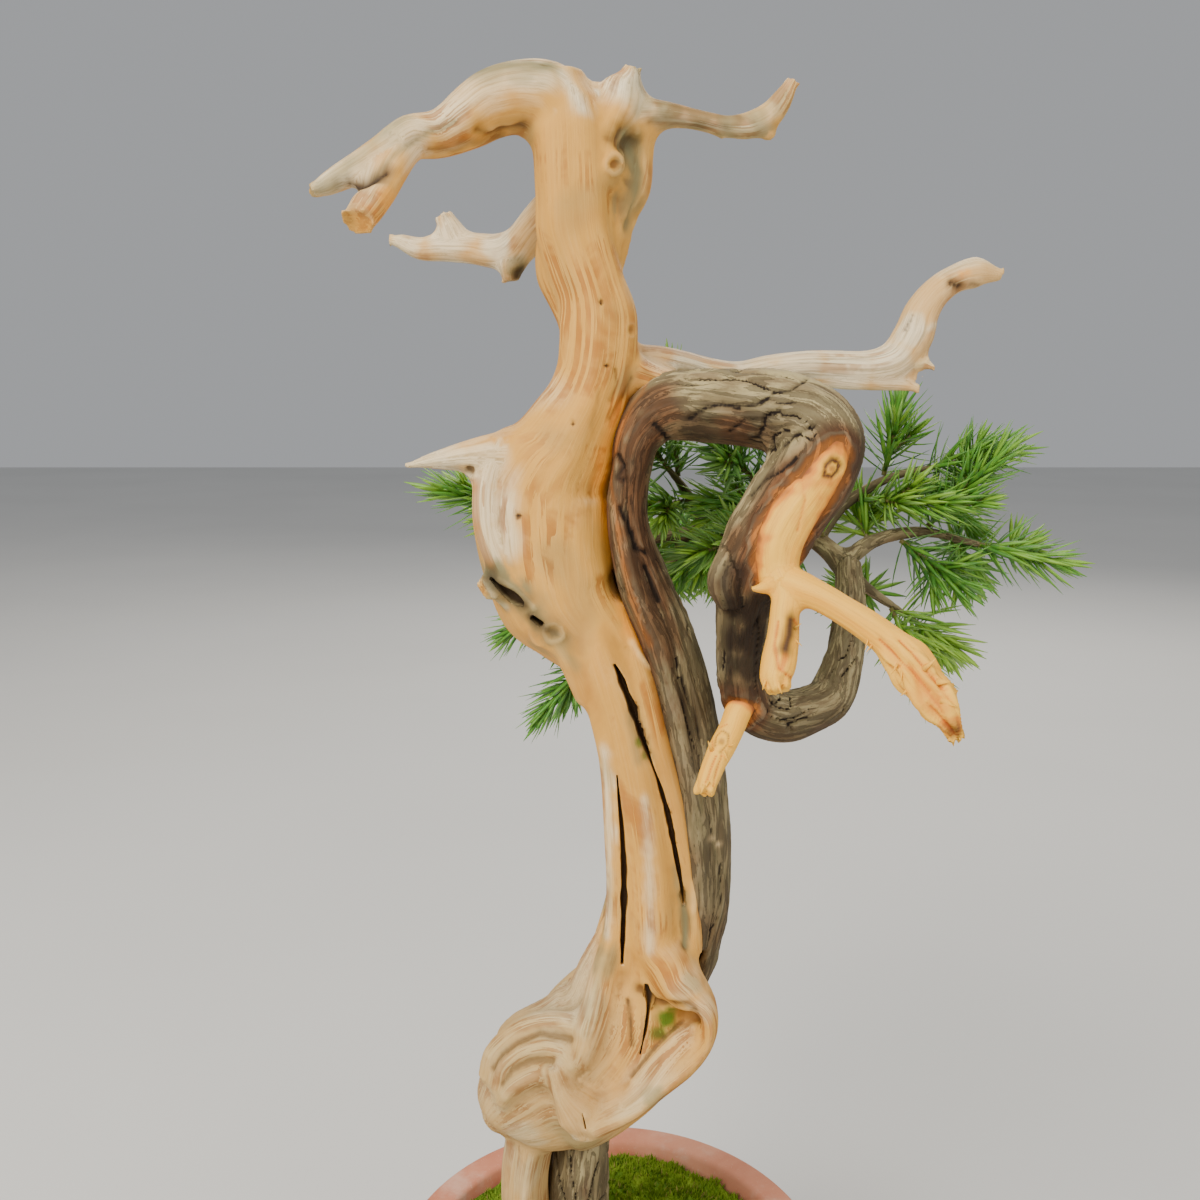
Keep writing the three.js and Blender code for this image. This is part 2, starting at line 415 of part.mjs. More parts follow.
function joined(bodies) {
  return bodies.reduce((sum, body) => sum.add(body));
}

// A capped cylinder bent along a smooth curve through the stations and tapered as they say.
// across is the direction in which the half depth is measured.
function limb(stations, section, grow = 0) {
  const { sides, ridges = 0, ridgeDepth = 0, lumps = 0, across = FRONT_TO_BACK } = section;
  const last = stations.length - 1;
  const points = stations.map(([x, y, z]) => new THREE.Vector3(x, y, z).add(TREE_PLACE));
  const curve = new THREE.CatmullRomCurve3(points, false, 'centripetal');
  const geometry = new THREE.CylinderGeometry(1, 1, 1, sides, last);
  const vertices = geometry.attributes.position;
  const vertex = new THREE.Vector3();
  for (let i = 0; i < vertices.count; i += 1) {
    vertex.fromBufferAttribute(vertices, i);
    const station = Math.round((vertex.y + 0.5) * last);
    const tangent = curve.getTangent(station / last);
    const sideways = new THREE.Vector3().crossVectors(across, tangent).normalize();
    const depthwise = new THREE.Vector3().crossVectors(sideways, tangent).normalize();
    const angle = Math.atan2(vertex.x, vertex.z);
    const side = (Math.round((angle / (2 * Math.PI)) * sides) + sides) % sides;
    const ridge = 1 + ridgeDepth * Math.cos(ridges * angle + station * RIDGE_TURN);
    const draw = unitDraw(station * LUMP_STEP + side * LUMP_SIDE_STEP + last);
    const lump = 1 + lumps * (2 * draw - 1);
    const [, , , halfWidth, halfDepth = halfWidth] = stations[station];
    const target = points[station].clone();
    target.addScaledVector(sideways, vertex.x * (halfWidth * ridge * lump + grow));
    target.addScaledVector(depthwise, vertex.z * (halfDepth * ridge * lump + grow));
    if (station === 0) target.addScaledVector(tangent, -grow);
    if (station === last) target.addScaledVector(tangent, grow);
    vertices.setXYZ(i, target.x, target.y, target.z);
  }
  return solid(geometry);
}

// Limbs of one body joined, each grown by a margin on every side
function limbs(list, grow = 0) {
  return joined(list.map(([stations, section]) => limb(stations, section, grow)));
}

// A body turned about the pot's axis from a closed outline of [radius, height] points
function turned(outline) {
  const points = outline.map(([radius, height]) => new THREE.Vector2(radius, height));
  const geometry = new THREE.LatheGeometry(points, POT_SEGMENTS);
  geometry.rotateX(Math.PI / 2);
  return geometry;
}

// The inside radius of the pot at a height
function potInside(height) {
  const low = FOOT_RADIUS - POT_WALL;
  const high = RIM_RADIUS - RIM_WIDTH;
  return low + ((high - low) * (height - POT_FLOOR)) / (POT_HEIGHT - POT_FLOOR);
}

function pot() {
  const collarFoot = POT_HEIGHT - COLLAR_HEIGHT;
  const collarRadius = RIM_RADIUS - COLLAR_TAPER;
  const body = solid(turned([
    [0, 0],
    [FOOT_RADIUS - EDGE_ROUND, 0],
    [FOOT_RADIUS, EDGE_ROUND],
    [collarRadius - COLLAR_STEP, collarFoot - EDGE_ROUND],
    [collarRadius - EDGE_ROUND / 2, collarFoot - EDGE_ROUND / 2],
    [collarRadius, collarFoot + EDGE_ROUND],
    [RIM_RADIUS, POT_HEIGHT - EDGE_ROUND],
    [RIM_RADIUS - EDGE_ROUND, POT_HEIGHT],
    [potInside(POT_HEIGHT) + EDGE_ROUND, POT_HEIGHT],
    [potInside(POT_HEIGHT - EDGE_ROUND), POT_HEIGHT - EDGE_ROUND],
    [potInside(POT_FLOOR), POT_FLOOR],
    [0, POT_FLOOR],
  ]));
  const drains = [];
  for (let i = 0; i < DRAIN_COUNT; i += 1) {
    const turn = (i * 2 * Math.PI) / DRAIN_COUNT;
    const drain = new THREE.CylinderGeometry(DRAIN_RADIUS, DRAIN_RADIUS, 4 * POT_FLOOR, DRAIN_SEGMENTS);
    drain.rotateX(Math.PI / 2);
    drain.translate(DRAIN_CIRCLE * Math.cos(turn), DRAIN_CIRCLE * Math.sin(turn), 0);
    drains.push(solid(drain));
  }
  return body.subtract(joined(drains));
}

function soil() {
  return solid(turned([
    [0, POT_FLOOR + GAP],
    [potInside(POT_FLOOR) - GAP, POT_FLOOR + GAP],
    [potInside(SOIL_TOP) - GAP, SOIL_TOP],
    [0, SOIL_TOP],
  ]));
}

// A cushion of moss that covers the soil, mounded towards the trunk
function moss() {
  const bottom = SOIL_TOP + GAP;
  const edge = potInside(bottom) - GAP;
  const outline = [[0, bottom], [edge, bottom]];
  for (let ring = 0; ring <= MOSS_RINGS; ring += 1) {
    const out = 1 - ring / MOSS_RINGS;
    const height = MOSS_EDGE + (MOSS_CROWN - MOSS_EDGE) * Math.sin(((1 - out) * Math.PI) / 2);
    outline.push([(edge + 1) * out, height]);
  }
  const geometry = turned(outline);
  const vertices = geometry.attributes.position;
  for (let i = 0; i < vertices.count; i += 1) {
    const x = vertices.getX(i);
    const y = vertices.getY(i);
    const z = vertices.getZ(i);
    if (z < MOSS_EDGE) continue;
    const wave = Math.sin(x * MOSS_WAVE_ACROSS + 1) * Math.cos(y * MOSS_WAVE_DEEP);
    const ripple = MOSS_RIPPLE * Math.sin(x * MOSS_RIPPLE_ACROSS - y * MOSS_RIPPLE_DEEP);
    vertices.setZ(i, z + MOSS_BUMP * (wave + ripple));
  }
  return solid(geometry);
}

// The shortest distance between two straight pieces, less what their thickness takes up
function clearBetween(a, b) {
  const alongA = new THREE.Vector3().subVectors(a.tip, a.root);
  const alongB = new THREE.Vector3().subVectors(b.tip, b.root);
  const between = new THREE.Vector3().subVectors(a.root, b.root);
  const aa = alongA.dot(alongA);
  const bb = alongB.dot(alongB);
  const ab = alongA.dot(alongB);
  const ac = alongA.dot(between);
  const bc = alongB.dot(between);
  const spread = aa * bb - ab * ab;
  let s = spread > 1e-9 ? THREE.MathUtils.clamp((ab * bc - ac * bb) / spread, 0, 1) : 0;
  const t = THREE.MathUtils.clamp((ab * s + bc) / bb, 0, 1);
  s = THREE.MathUtils.clamp((ab * t - ac) / aa, 0, 1);
  const onA = a.root.clone().addScaledVector(alongA, s);
  const onB = b.root.clone().addScaledVector(alongB, t);
  const thickA = THREE.MathUtils.lerp(a.rootRadius, a.tipRadius, s);
  const thickB = THREE.MathUtils.lerp(b.rootRadius, b.tipRadius, t);
  return onA.distanceTo(onB) - thickA - thickB;
}

function isClear(piece, others) {
  return others.every((other) => clearBetween(piece, other) > NEEDLE_CLEARANCE);
}

// The straight pieces that a limb's stations make, for keeping needles off it
function stretchesOf(stations) {
  const places = stations.map(([x, y, z]) => new THREE.Vector3(x, y, z).add(TREE_PLACE));
  return stations.slice(1).map(([, , , width, depth = width], i) => {
    const [, , , rootWidth, rootDepth = rootWidth] = stations[i];
    const rootRadius = Math.max(rootWidth, rootDepth) * WOOD_ROOM;
    const tipRadius = Math.max(width, depth) * WOOD_ROOM;
    return { root: places[i], tip: places[i + 1], rootRadius, tipRadius };
  });
}

// Two directions square to an axis
function crossAxes(axis) {
  const across = Math.abs(axis.z) > NEARLY_UPRIGHT ? SIDE_TO_SIDE : UP;
  const first = new THREE.Vector3().crossVectors(across, axis).normalize();
  return [first, new THREE.Vector3().crossVectors(axis, first)];
}

// The twigs' places where a leafy shoot may start: one at each end and the others forking off
function shootPlaces() {
  const places = [];
  TWIGS.forEach((stations, twig) => {
    const points = stations.map(([x, y, z]) => new THREE.Vector3(x, y, z).add(TREE_PLACE));
    const curve = new THREE.CatmullRomCurve3(points, false, 'centripetal');
    const last = stations.length - 1;
    const length = curve.getLength();
    const tipAxis = curve.getTangent(1);
    places.push({ root: curve.getPoint(1).addScaledVector(tipAxis, GAP), axis: tipAxis });
    const forks = Math.floor((length - BARE_TWIG) / SHOOT_SPACING);
    for (let i = 0; i < forks; i += 1) {
      const along = 1 - ((i + FORK_START) * SHOOT_SPACING) / length;
      const tangent = curve.getTangent(along);
      const [first, second] = crossAxes(tangent);
      const before = Math.floor(along * last);
      const [, , , radiusBefore] = stations[before];
      const [, , , radiusAfter] = stations[before + 1];
      const radius = THREE.MathUtils.lerp(radiusBefore, radiusAfter, along * last - before);
      const turn = (twig * TWIG_STEP + i) * GOLDEN_ANGLE;
      const outwards = first.multiplyScalar(Math.cos(turn)).addScaledVector(second, Math.sin(turn));
      places.push({ root: curve.getPoint(along), tangent, outwards, radius });
    }
  });
  return places;
}

// The stem of a shoot; one that forks off is turned about its twig by a number of tries
function stemAt(place, tries, length) {
  const axis = (place.axis ?? place.tangent).clone();
  const root = place.root.clone();
  if (place.outwards) {
    const outwards = place.outwards.clone().applyAxisAngle(place.tangent, tries * FORK_TURN);
    axis.multiplyScalar(Math.cos(SHOOT_LEAN)).addScaledVector(outwards, Math.sin(SHOOT_LEAN)).normalize();
    const offTwig = place.radius * TWIG_SWELL + GAP + SHOOT_RADIUS * Math.cos(SHOOT_LEAN);
    root.addScaledVector(axis, offTwig / Math.sin(SHOOT_LEAN));
  }
  const tip = root.clone().addScaledVector(axis, length);
  return { root, tip, axis, length, rootRadius: SHOOT_RADIUS, tipRadius: SHOOT_TIP_RADIUS };
}

// The stems of all the shoots, each clear of the wood and of the stems before it
function stemsAmong(wood) {
  const stems = [];
  shootPlaces().forEach((place, index) => {
    const share = SHOOT_LEAST + SHOOT_PLAY * unitDraw(index + STEM_START);
    const rings = Math.round((SHOOT_LENGTH * share) / WHORL_SPACING);
    for (let tries = 0; tries < FORK_TRIES; tries += 1) {
      const stem = stemAt(place, tries, rings * WHORL_SPACING);
      const laneRoot = stem.root.clone().lerp(stem.tip, STEM_ROOM_FROM);
      const lane = { ...stem, root: laneRoot, rootRadius: 1, tipRadius: STEM_ROOM };
      if (isClear(lane, [...wood, ...stems])) {
        stems.push(stem);
        break;
      }
      if (!place.outwards) break;
    }
  });
  return stems.slice(0, MOST_SHOOTS);
}

// A leafy shoot: a slim three-sided stem, each face of which is drawn out to a needle.
// Needles that would touch anything already there are turned, then shortened, then left out.
function shoot(stem, index, others) {
  const { root, axis, length } = stem;
  const rings = Math.round(length / WHORL_SPACING);
  const [first, second] = crossAxes(axis);
  const geometry = new THREE.CylinderGeometry(1, 1, 1, 3, rings);
  const vertices = geometry.attributes.position;
  const vertex = new THREE.Vector3();
  for (let i = 0; i < vertices.count; i += 1) {
    vertex.fromBufferAttribute(vertices, i);
    const along = vertex.y + 0.5;
    const radius = THREE.MathUtils.lerp(SHOOT_RADIUS, SHOOT_TIP_RADIUS, along);
    vertex.applyAxisAngle(FRONT_TO_BACK, along * rings * WHORL_TWIST);
    const target = root.clone().addScaledVector(axis, along * length);
    target.addScaledVector(second, vertex.x * radius).addScaledVector(first, vertex.z * radius);
    vertices.setXYZ(i, target.x, target.y, target.z);
  }
  const faces = geometry.toNonIndexed().attributes.position;
  const corners = [];
  const needles = [];
  for (let i = 0; i < faces.count; i += 3) {
    const [a, b, c] = [0, 1, 2].map((corner) => new THREE.Vector3().fromBufferAttribute(faces, i + corner));
    const middle = a.clone().add(b).add(c).divideScalar(3);
    const height = middle.clone().sub(root).dot(axis);
    const draw = index * SHOOT_STEP + i;
    const needle = height > NEEDLE_BASE / 2 && needleAt(middle, stem, height, draw, others, needles);
    if (needle) {
      needles.push(needle);
      corners.push(a, b, needle.tip, b, c, needle.tip, c, a, needle.tip);
    } else {
      corners.push(a, b, c);
    }
  }
  return { body: solid(new THREE.BufferGeometry().setFromPoints(corners)), needles };
}

// One needle of a shoot, or nothing where there is no room for it
function needleAt(middle, { root, axis, length }, height, draw, others, needles) {
  const onAxis = root.clone().addScaledVector(axis, height);
  const outwards = middle.clone().sub(onAxis);
  if (outwards.length() < SHOOT_TIP_RADIUS / 4) outwards.copy(crossAxes(axis)[0]);
  outwards.normalize();
  const spread = THREE.MathUtils.lerp(ROOT_SPREAD, TIP_SPREAD, height / length);
  const lean = THREE.MathUtils.degToRad(spread + SPREAD_PLAY * (unitDraw(draw) - (draw % 2)));
  const reach = NEEDLE_LENGTH * (NEEDLE_LEAST + NEEDLE_PLAY * unitDraw(draw + REACH_START));
  for (const share of NEEDLE_SHARES) {
    for (const turn of NEEDLE_TURNS) {
      const direction = axis.clone().multiplyScalar(Math.cos(lean));
      direction.addScaledVector(outwards, Math.sin(lean)).applyAxisAngle(axis, turn);
      const tip = middle.clone().addScaledVector(direction, reach * share);
      const needle = { root: middle, tip, rootRadius: NEEDLE_BASE, tipRadius: 0 };
      const freeRoot = middle.clone().lerp(tip, NEEDLE_FREE_FROM);
      const outer = { ...needle, root: freeRoot, rootRadius: NEEDLE_BASE / 2 };
      if (isClear(needle, others) && isClear(outer, needles)) return needle;
    }
  }
  return null;
}

const group = new THREE.Group();

function addPiece(name, body, color, roughness) {
  const material = new THREE.MeshStandardMaterial({ color, roughness, metalness: 0 });
  const mesh = new THREE.Mesh(geometryOf(body), material);
  mesh.name = name;
  group.add(mesh);
}

const bareTrunk = largestBody(limbs(BARE_WOOD).subtract(limbs(CLEFTS)));
const bareSpace = limbs(BARE_WOOD, GAP);
const elbow = largestBody(limbs(PEELED_ELBOW).subtract(bareSpace));
const stub = limbs(PEELED_STUB);
const peeledSpace = limbs([...PEELED_ELBOW, ...PEELED_STUB], GAP);
const barked = largestBody(limbs(BARKED_WOOD).subtract(bareSpace).subtract(peeledSpace));
const trunkSpace = bareSpace.add(limbs(BARKED_WOOD, GAP));

addPiece('pot', pot(), 0xb5694c, 0.85);
addPiece('soil', largestBody(soil().subtract(trunkSpace)), 0x3b2c20, 0.95);
addPiece('moss', largestBody(moss().subtract(trunkSpace)), 0x557a1e, 0.95);
addPiece('bare_trunk', bareTrunk, 0xd0a76b, 0.7);
addPiece('barked_branch', barked, 0x6b5a48, 0.9);
addPiece('peeled_elbow', elbow, 0xe9bd77, 0.6);
addPiece('peeled_stub', stub, 0xe0b06c, 0.6);

// Leafy shoots: all the stems are placed first, then each grows its needles among them
const wood = [
  ...TWIGS.flatMap(stretchesOf),
  ...stretchesOf(VEIN.slice(-BRANCH_STATIONS)),
  ...stretchesOf(RIGHT_ARM),
  ...stretchesOf(PEELED_RIGHT),
];
const stems = stemsAmong(wood);
const taken = [];
stems.forEach((stem, index) => {
  const others = [...wood, ...taken, ...stems.filter((other) => other !== stem)];
  const { body, needles } = shoot(stem, index, others);
  taken.push(...needles);
  addPiece(`needle_spray_${String(index + 1).padStart(2, '0')}`, body, 0x3f8a2c, 0.55);
});

export default group;
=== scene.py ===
"""Looks of a needle juniper bonsai in a terracotta pot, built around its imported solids.

The tables give places in millimetres in the tree's own frame, and the meshes are in metres.
"""
import logging
import math
import random
from dataclasses import dataclass, field, replace
from enum import Enum

import bmesh
import bpy
import numpy as np
from mathutils import Matrix, Vector, noise
from mathutils.bvhtree import BVHTree
from mathutils.kdtree import KDTree


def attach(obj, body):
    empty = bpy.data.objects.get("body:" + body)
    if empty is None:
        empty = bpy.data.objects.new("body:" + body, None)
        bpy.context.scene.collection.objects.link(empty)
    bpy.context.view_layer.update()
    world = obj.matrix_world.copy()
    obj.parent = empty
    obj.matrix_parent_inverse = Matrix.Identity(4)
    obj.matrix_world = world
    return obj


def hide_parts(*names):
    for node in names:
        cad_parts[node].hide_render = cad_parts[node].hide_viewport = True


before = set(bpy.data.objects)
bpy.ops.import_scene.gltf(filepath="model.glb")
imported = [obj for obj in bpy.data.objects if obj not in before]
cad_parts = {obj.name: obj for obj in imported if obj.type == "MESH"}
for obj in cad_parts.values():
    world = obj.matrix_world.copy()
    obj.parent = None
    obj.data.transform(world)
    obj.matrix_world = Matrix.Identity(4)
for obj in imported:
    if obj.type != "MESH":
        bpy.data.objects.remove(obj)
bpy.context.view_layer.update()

LOG = logging.getLogger("bonsai")

MM = 0.001
BODY = "root"

# The tree stands a little in front of the pot's axis
TREE_PLACE = (0.0, -12.0, 0.0)

# The image that the camera takes
IMAGE_SIZE = 1200
FIELD_OF_VIEW = math.radians(53.2)
CAMERA_PLACE = (-3.0, -312.0, 338.0)
CAMERA_DIP = math.radians(10.8)

# How the wood is made, in millimetres where nothing else is said
LIMB_STEP = 1.6  # between two rings of a limb
RIB_TURN = 0.35  # turn of the ribs from one station to the next, in radians
FAR = 1e3  # where no limb is near
BATCH = 20000  # points that are read at once
GRAIN_SHIFT = 53.0  # between the grains of two limbs
SEAM_WIDTH = 2.5  # over which one limb's grain gives way to the next
FULL_SIZE = 7.0  # of a limb whose relief has its full height
FIRST_SKIN = 1.3  # size of the faces of a first, rough skin against the last ones
FIRST_ROUNDS = 3  # of smoothing of that skin
CAVITY_ROUNDS = 10  # of smoothing of the skin that hollows are measured from
CAVITY_DEPTH = 0.7  # between the lowest hollow and the highest ridge
CLEFT_SKIN = 0.28  # size of the faces in a cleft
CLEFT_KEPT = 0.22  # share of those faces that is kept
SPLINTER_TIP = 0.06  # half thickness of the end of a torn fibre
SAME = 1e-6  # metres within which two places are one

Mesh = bpy.types.Mesh
Object = bpy.types.Object
Material = bpy.types.Material
Socket = bpy.types.NodeSocket
Station = tuple[float, ...]
Stations = list[Station]
Colour = tuple[float, float, float]

# Sizes of the pot and of what fills it
POT_HEIGHT = 80.0
RIM_RADIUS = 64.0
RIM_WIDTH = 9.0
COLLAR_HEIGHT = 22.0
COLLAR_STEP = 3.0
COLLAR_TAPER = 2.0
FOOT_RADIUS = 45.0
POT_WALL = 7.0
POT_FLOOR = 8.0
SOIL_TOP = 66.0
MOSS_EDGE = 76.0
MOSS_CROWN = 88.0
TRUNK_FOOT = 44.0

# Each limb is a list of stations [x, y, z, half width, half depth], from its root to its end.
# The half depth is left out where it is the same as the half width.

# Bare wood: the spine of the trunk with its broad shoulder
SPINE: Stations = [
    (9, -2, 171, 12, 14), (10.5, -2, 191.5, 12, 13), (11, -2, 205.5, 11.5, 12), (8.5, -1, 227.5, 10.5, 11),
    (6, 0, 243.5, 10, 11), (3.5, 0, 254.5, 10, 11), (-0.5, 0, 265, 11.5, 12), (-4, 0, 270.5, 12, 12.5),
    (-8.5, 0, 275.5, 13.8, 12.4), (-12.8, 0.5, 281, 17, 12.8), (-15, 1, 287.5, 17.8, 13.3),
    (-16.4, 1.5, 293.8, 18.7, 14), (-17, 2, 299.5, 19.3, 14.4), (-17.2, 2.5, 304, 19.6, 14.8),
    (-16.8, 3, 309.3, 19.3, 15), (-14.8, 2.5, 314.5, 17.3, 14.8), (-12, 2, 319, 14.3, 14.2),
    (-9.4, 1.5, 324.6, 12.2, 13.2), (-6.5, 1, 330.4, 10.8, 12), (-4.8, 0.5, 335, 10.1, 11.2),
    (-3.6, 0, 339.5, 9.9, 10.5), (-3, 0, 350.5, 10), (-4.5, 0, 357.5, 8.5, 9.5), (-7, 0, 364.5, 9, 9.5),
    (-9, 0, 371.5, 9.5), (-9.5, 0, 378.5, 9, 9.5), (-10, 0, 386.5, 9, 9.5), (-10.5, 0, 394, 9.2, 9.5),
    (-11.5, 0, 401, 8, 8.5), (-12, 0, 407, 4.5, 5),
]

# Bare wood: ribs that run down the front and the back of the trunk
FRONT_RIB_LEFT: Stations = [
    (-7, -7, 274, 1.5, 2), (-3.5, -9, 257, 3.5, 4), (-0.5, -9, 241, 3, 4), (0.7, -9, 225, 3, 4),
    (1.4, -9, 208.5, 3, 4), (0.9, -9, 195, 3.5, 4.5), (-2.5, -11, 181, 4, 4.5), (-5, -16, 173, 4),
    (-7.5, -19, 165, 3), (-8.5, -15, 160, 1.5),
]
FRONT_RIB_HOOK: Stations = [
    (-6.5, -6, 284, 2, 2.5), (-4.5, -7.5, 274, 4.5, 5), (-0.5, -9, 262, 6, 7), (4, -9, 246.5, 6.5, 7),
    (7, -9, 230.5, 6.5, 7.5), (9.5, -9, 214, 6.5, 7.5), (10.5, -10, 201, 6.5, 8), (11, -11, 193, 5.7, 8),
    (13.8, -13, 189.1, 6.5, 8), (16.6, -15, 185, 6.3, 8), (20.1, -17, 182.2, 5.8, 8),
    (23.5, -18, 179.6, 3.5, 7.5), (25, -18.5, 176.4, 2.4, 6.5), (24.7, -18.5, 171.1, 2.1, 6.5),
    (22.2, -18, 167.1, 3.1, 8), (18.2, -18, 163.5, 3.9, 9), (12.1, -19, 159.1, 3.8, 9.5),
    (5.7, -20, 154.4, 3.8, 10), (-1.1, -21, 151, 3.7, 9.5), (-5.3, -22, 148.9, 3.5, 8),
]
FRONT_RIB_RIGHT: Stations = [
    (2, -5, 280, 1.5, 2), (7.5, -8, 262, 3.5, 5), (11.5, -8, 246, 3.5, 5), (15.5, -8, 230, 3.5, 5),
    (18.5, -7, 216, 3, 4.5), (20.5, -7, 202.5, 2.5, 4), (21.5, -8, 190, 2.5, 4),
]
SHOULDER_RIDGE: Stations = [
    (-27, -5, 322, 1.5, 2.5), (-31, -5, 311, 3.5, 5), (-30.5, -6, 299, 3.5, 5), (-26, -7, 288, 3.5, 4.5),
    (-19, -9, 279, 3, 4), (-12, -10, 270, 3, 4), (-7, -9, 258, 2.5, 3.5),
]
BACK_RIB_LEFT: Stations = [
    (-8, 12, 330, 4, 4.5), (-13, 14, 312, 5), (-10, 13, 294, 5), (-3, 11, 276, 4.5), (2, 10, 256, 4, 4.5),
    (4, 10, 236, 4, 4.5), (5, 11, 214, 4.5, 5), (3, 13, 192, 5, 6), (-2, 14, 172, 5.5, 7),
]
BACK_RIB_RIGHT: Stations = [
    (-4, 9, 396, 4), (-6, 9, 378, 4), (-3, 9, 360, 4), (-1, 10, 342, 4.5), (-4, 13, 324, 5),
    (-2, 13, 306, 5, 4.5), (2, 11, 290, 4),
]

# Bare wood: the knotted swelling above the soil and the thin neck that carries it
BASE_BODY: Stations = [
    (10.3, 2, 189.3, 12.6, 13), (7, 0, 175.5, 17.8, 16), (6, -1, 168.4, 20, 18), (2.8, -1, 162, 21.1, 19),
    (-1.7, -1, 156.5, 21.4, 19.5), (-6.5, -1, 152.3, 21.5, 19.5), (-11.5, -1, 149.2, 21.8, 19),
    (-16.5, -1, 147.5, 21.5, 17.5), (-20.2, -1, 144.6, 19.8, 16.5), (-23.7, -1, 142, 17.7, 15),
    (-27, -1, 139.6, 15, 13.5), (-29.6, -1, 137.4, 11.6, 11.5), (-31.6, -1, 135.2, 7.4, 8),
    (-32.8, -1, 134, 3.6, 4),
]
BASE_RIDGE_OUTER: Stations = [
    (-33.4, -8.6, 152.9, 2.4), (-32.1, -7.8, 158.2, 2.6), (-28.2, -7.8, 163.2, 2.6), (-22.6, -8.4, 167.3, 2.6),
    (-15.6, -11.2, 170.6, 2.6), (-9.2, -14.7, 171.5, 2.6), (-4.3, -17.2, 170.1, 2.2),
]
BASE_RIDGE_INNER: Stations = [
    (-29.3, -13, 152.1, 2.4), (-27.7, -12.6, 157.9, 2.6), (-23.4, -13.2, 162.6, 2.6),
    (-17.3, -14.8, 165.6, 2.6), (-12.8, -16.8, 165.4, 2.6), (-9.7, -18.4, 162.4, 2.2),
]
BASE_LEDGE: Stations = [
    (-28.8, -13.8, 148.5, 2.2), (-25.2, -15.1, 153.7, 2.6), (-20.7, -16.5, 157.5, 2.6),
    (-16.2, -17.5, 159.9, 2.2),
]
BASE_BEAK: Stations = [
    (-14.8, -20, 162.2, 1.8, 3), (-12.4, -21.5, 156.6, 3.1, 5), (-9, -22.5, 151.7, 6),
    (-7.3, -23.5, 146.5, 4.3, 5), (-7.3, -24.5, 144.6, 2.3, 3),
]
BASE_TONGUE: Stations = [
    (21.7, -16, 169.8, 1.4, 3), (18.2, -18.5, 167.9, 2.6, 5), (13.1, -20, 163.1, 2.9, 6.5),
    (7.9, -22, 157.6, 2.8, 7), (1.7, -23, 152.9, 2.4, 6),
]
BASE_BACK: Stations = [
    (9, 9, 186, 6, 8), (2, 13, 172, 8, 9), (-10, 14, 158, 10, 9), (-16, 12, 144, 9, 8), (-16, 8, 132, 7),
]
NECK: Stations = [
    (-19.5, 1, 142, 8.5, 11), (-22, 1, 130, 7, 10.5), (-24, 0, 116, 6.5, 11), (-23, 0, 100, 6.5, 11),
    (-21.5, 0, 86, 7, 11.5), (-20, 0, 68, 8, 12), (-20, 0, TRUNK_FOOT, 6.5, 9),
]

# Bare wood: the broken top with its branches
TOP_LEFT: Stations = [
    (-8.5, 1, 383, 7, 8), (-11, 1, 394, 8.5, 9), (-15, 0, 400.6, 9), (-18.5, 0, 401.3, 9.2, 9),
    (-23.7, -1, 401, 8.4, 9), (-29.3, -2, 399.2, 8, 8.5), (-33.8, -3.5, 396, 7.2, 8),
    (-38, -4.5, 393.3, 6, 7.5), (-41.5, -6, 391.8, 5.4, 6.5), (-46.5, -9, 391, 5, 6),
    (-49.5, -11, 389, 4.5, 5.5),
]
TOP_LEFT_FORK_UP: Stations = [
    (-45, -8, 391.5, 4.5, 5.5), (-51.5, -11, 388, 4, 5), (-57.5, -13, 384, 3.5, 4.5), (-62.5, -15, 381, 3, 4),
    (-66, -16, 379, 2.5, 3), (-68, -17, 378, 1.5, 2),
]
TOP_LEFT_FORK_LOW: Stations = [
    (-46, -9, 391, 4, 4.6), (-50, -14, 384, 4, 4.8), (-53, -19, 377.5, 4, 5), (-55, -24, 372.6, 4, 4.6),
    (-56, -27, 370.2, 3.5, 4.2),
]
TOP_RIGHT_STUB: Stations = [
    (-3, 1, 384, 5.5, 7), (0, 1, 394, 6.5, 7), (2.5, 1, 400.5, 6.3), (3.2, 1, 404.5, 5.4, 5.2),
    (4.2, 1, 406.7, 3.4, 3.8), (4.7, 1, 408.4, 1.6, 2),
]
TOP_RIGHT: Stations = [
    (-1, 0, 396.5, 4, 4.5), (6.5, 1, 398, 3.8, 4.2), (12.5, 3, 398.3, 3.4, 3.7), (20, 5, 397.6, 2.6, 3.2),
    (27.5, 7, 396.4, 2.6, 3), (33.5, 8, 396.8, 3.5, 3.2), (38.5, 9, 399.5, 3.4, 3.2),
    (41.8, 10, 403.8, 2.8, 2.6), (44, 10, 407.6, 1.6, 1.8),
]
TOP_RIGHT_BARB: Stations = [(36.5, 8.5, 398, 2.4, 2.2), (38.2, 9, 395.6, 1.6), (39, 9, 394, 0.9, 1)]
TOP_RIGHT_SPUR: Stations = [(27, 7, 396.5, 1.8, 2), (27.8, 7, 394, 0.9, 1)]
TOP_FLANGE: Stations = [
    (-3, 3, 355, 3.5, 5), (-0.5, 4, 366, 3, 5), (3, 5, 374.5, 3, 5), (6, 5, 381.5, 3.5, 5), (7, 5, 388.5, 3, 5),
    (6.5, 4, 394.5, 3.5, 5), (2, 2, 400, 3.5, 5),
]
TOP_FLANGE_FLOOR: Stations = [
    (-3, 5, 356, 3), (-1, 5, 366, 5, 3), (1, 5, 378, 6, 3), (1.5, 4, 390, 6, 3), (0, 3, 399, 4, 3),
]
TOP_EDGE_STRAND: Stations = [
    (-14, 6, 376, 2, 3), (-15.7, 6, 370.7, 2.8, 4), (-16.1, 6, 365.5, 3.2, 4), (-15.7, 7, 360.5, 3.2, 4),
    (-14, 7, 356, 2.5, 4), (-11.6, 6, 350.6, 2.4, 4), (-11, 5, 345.7, 1.7, 3),
]
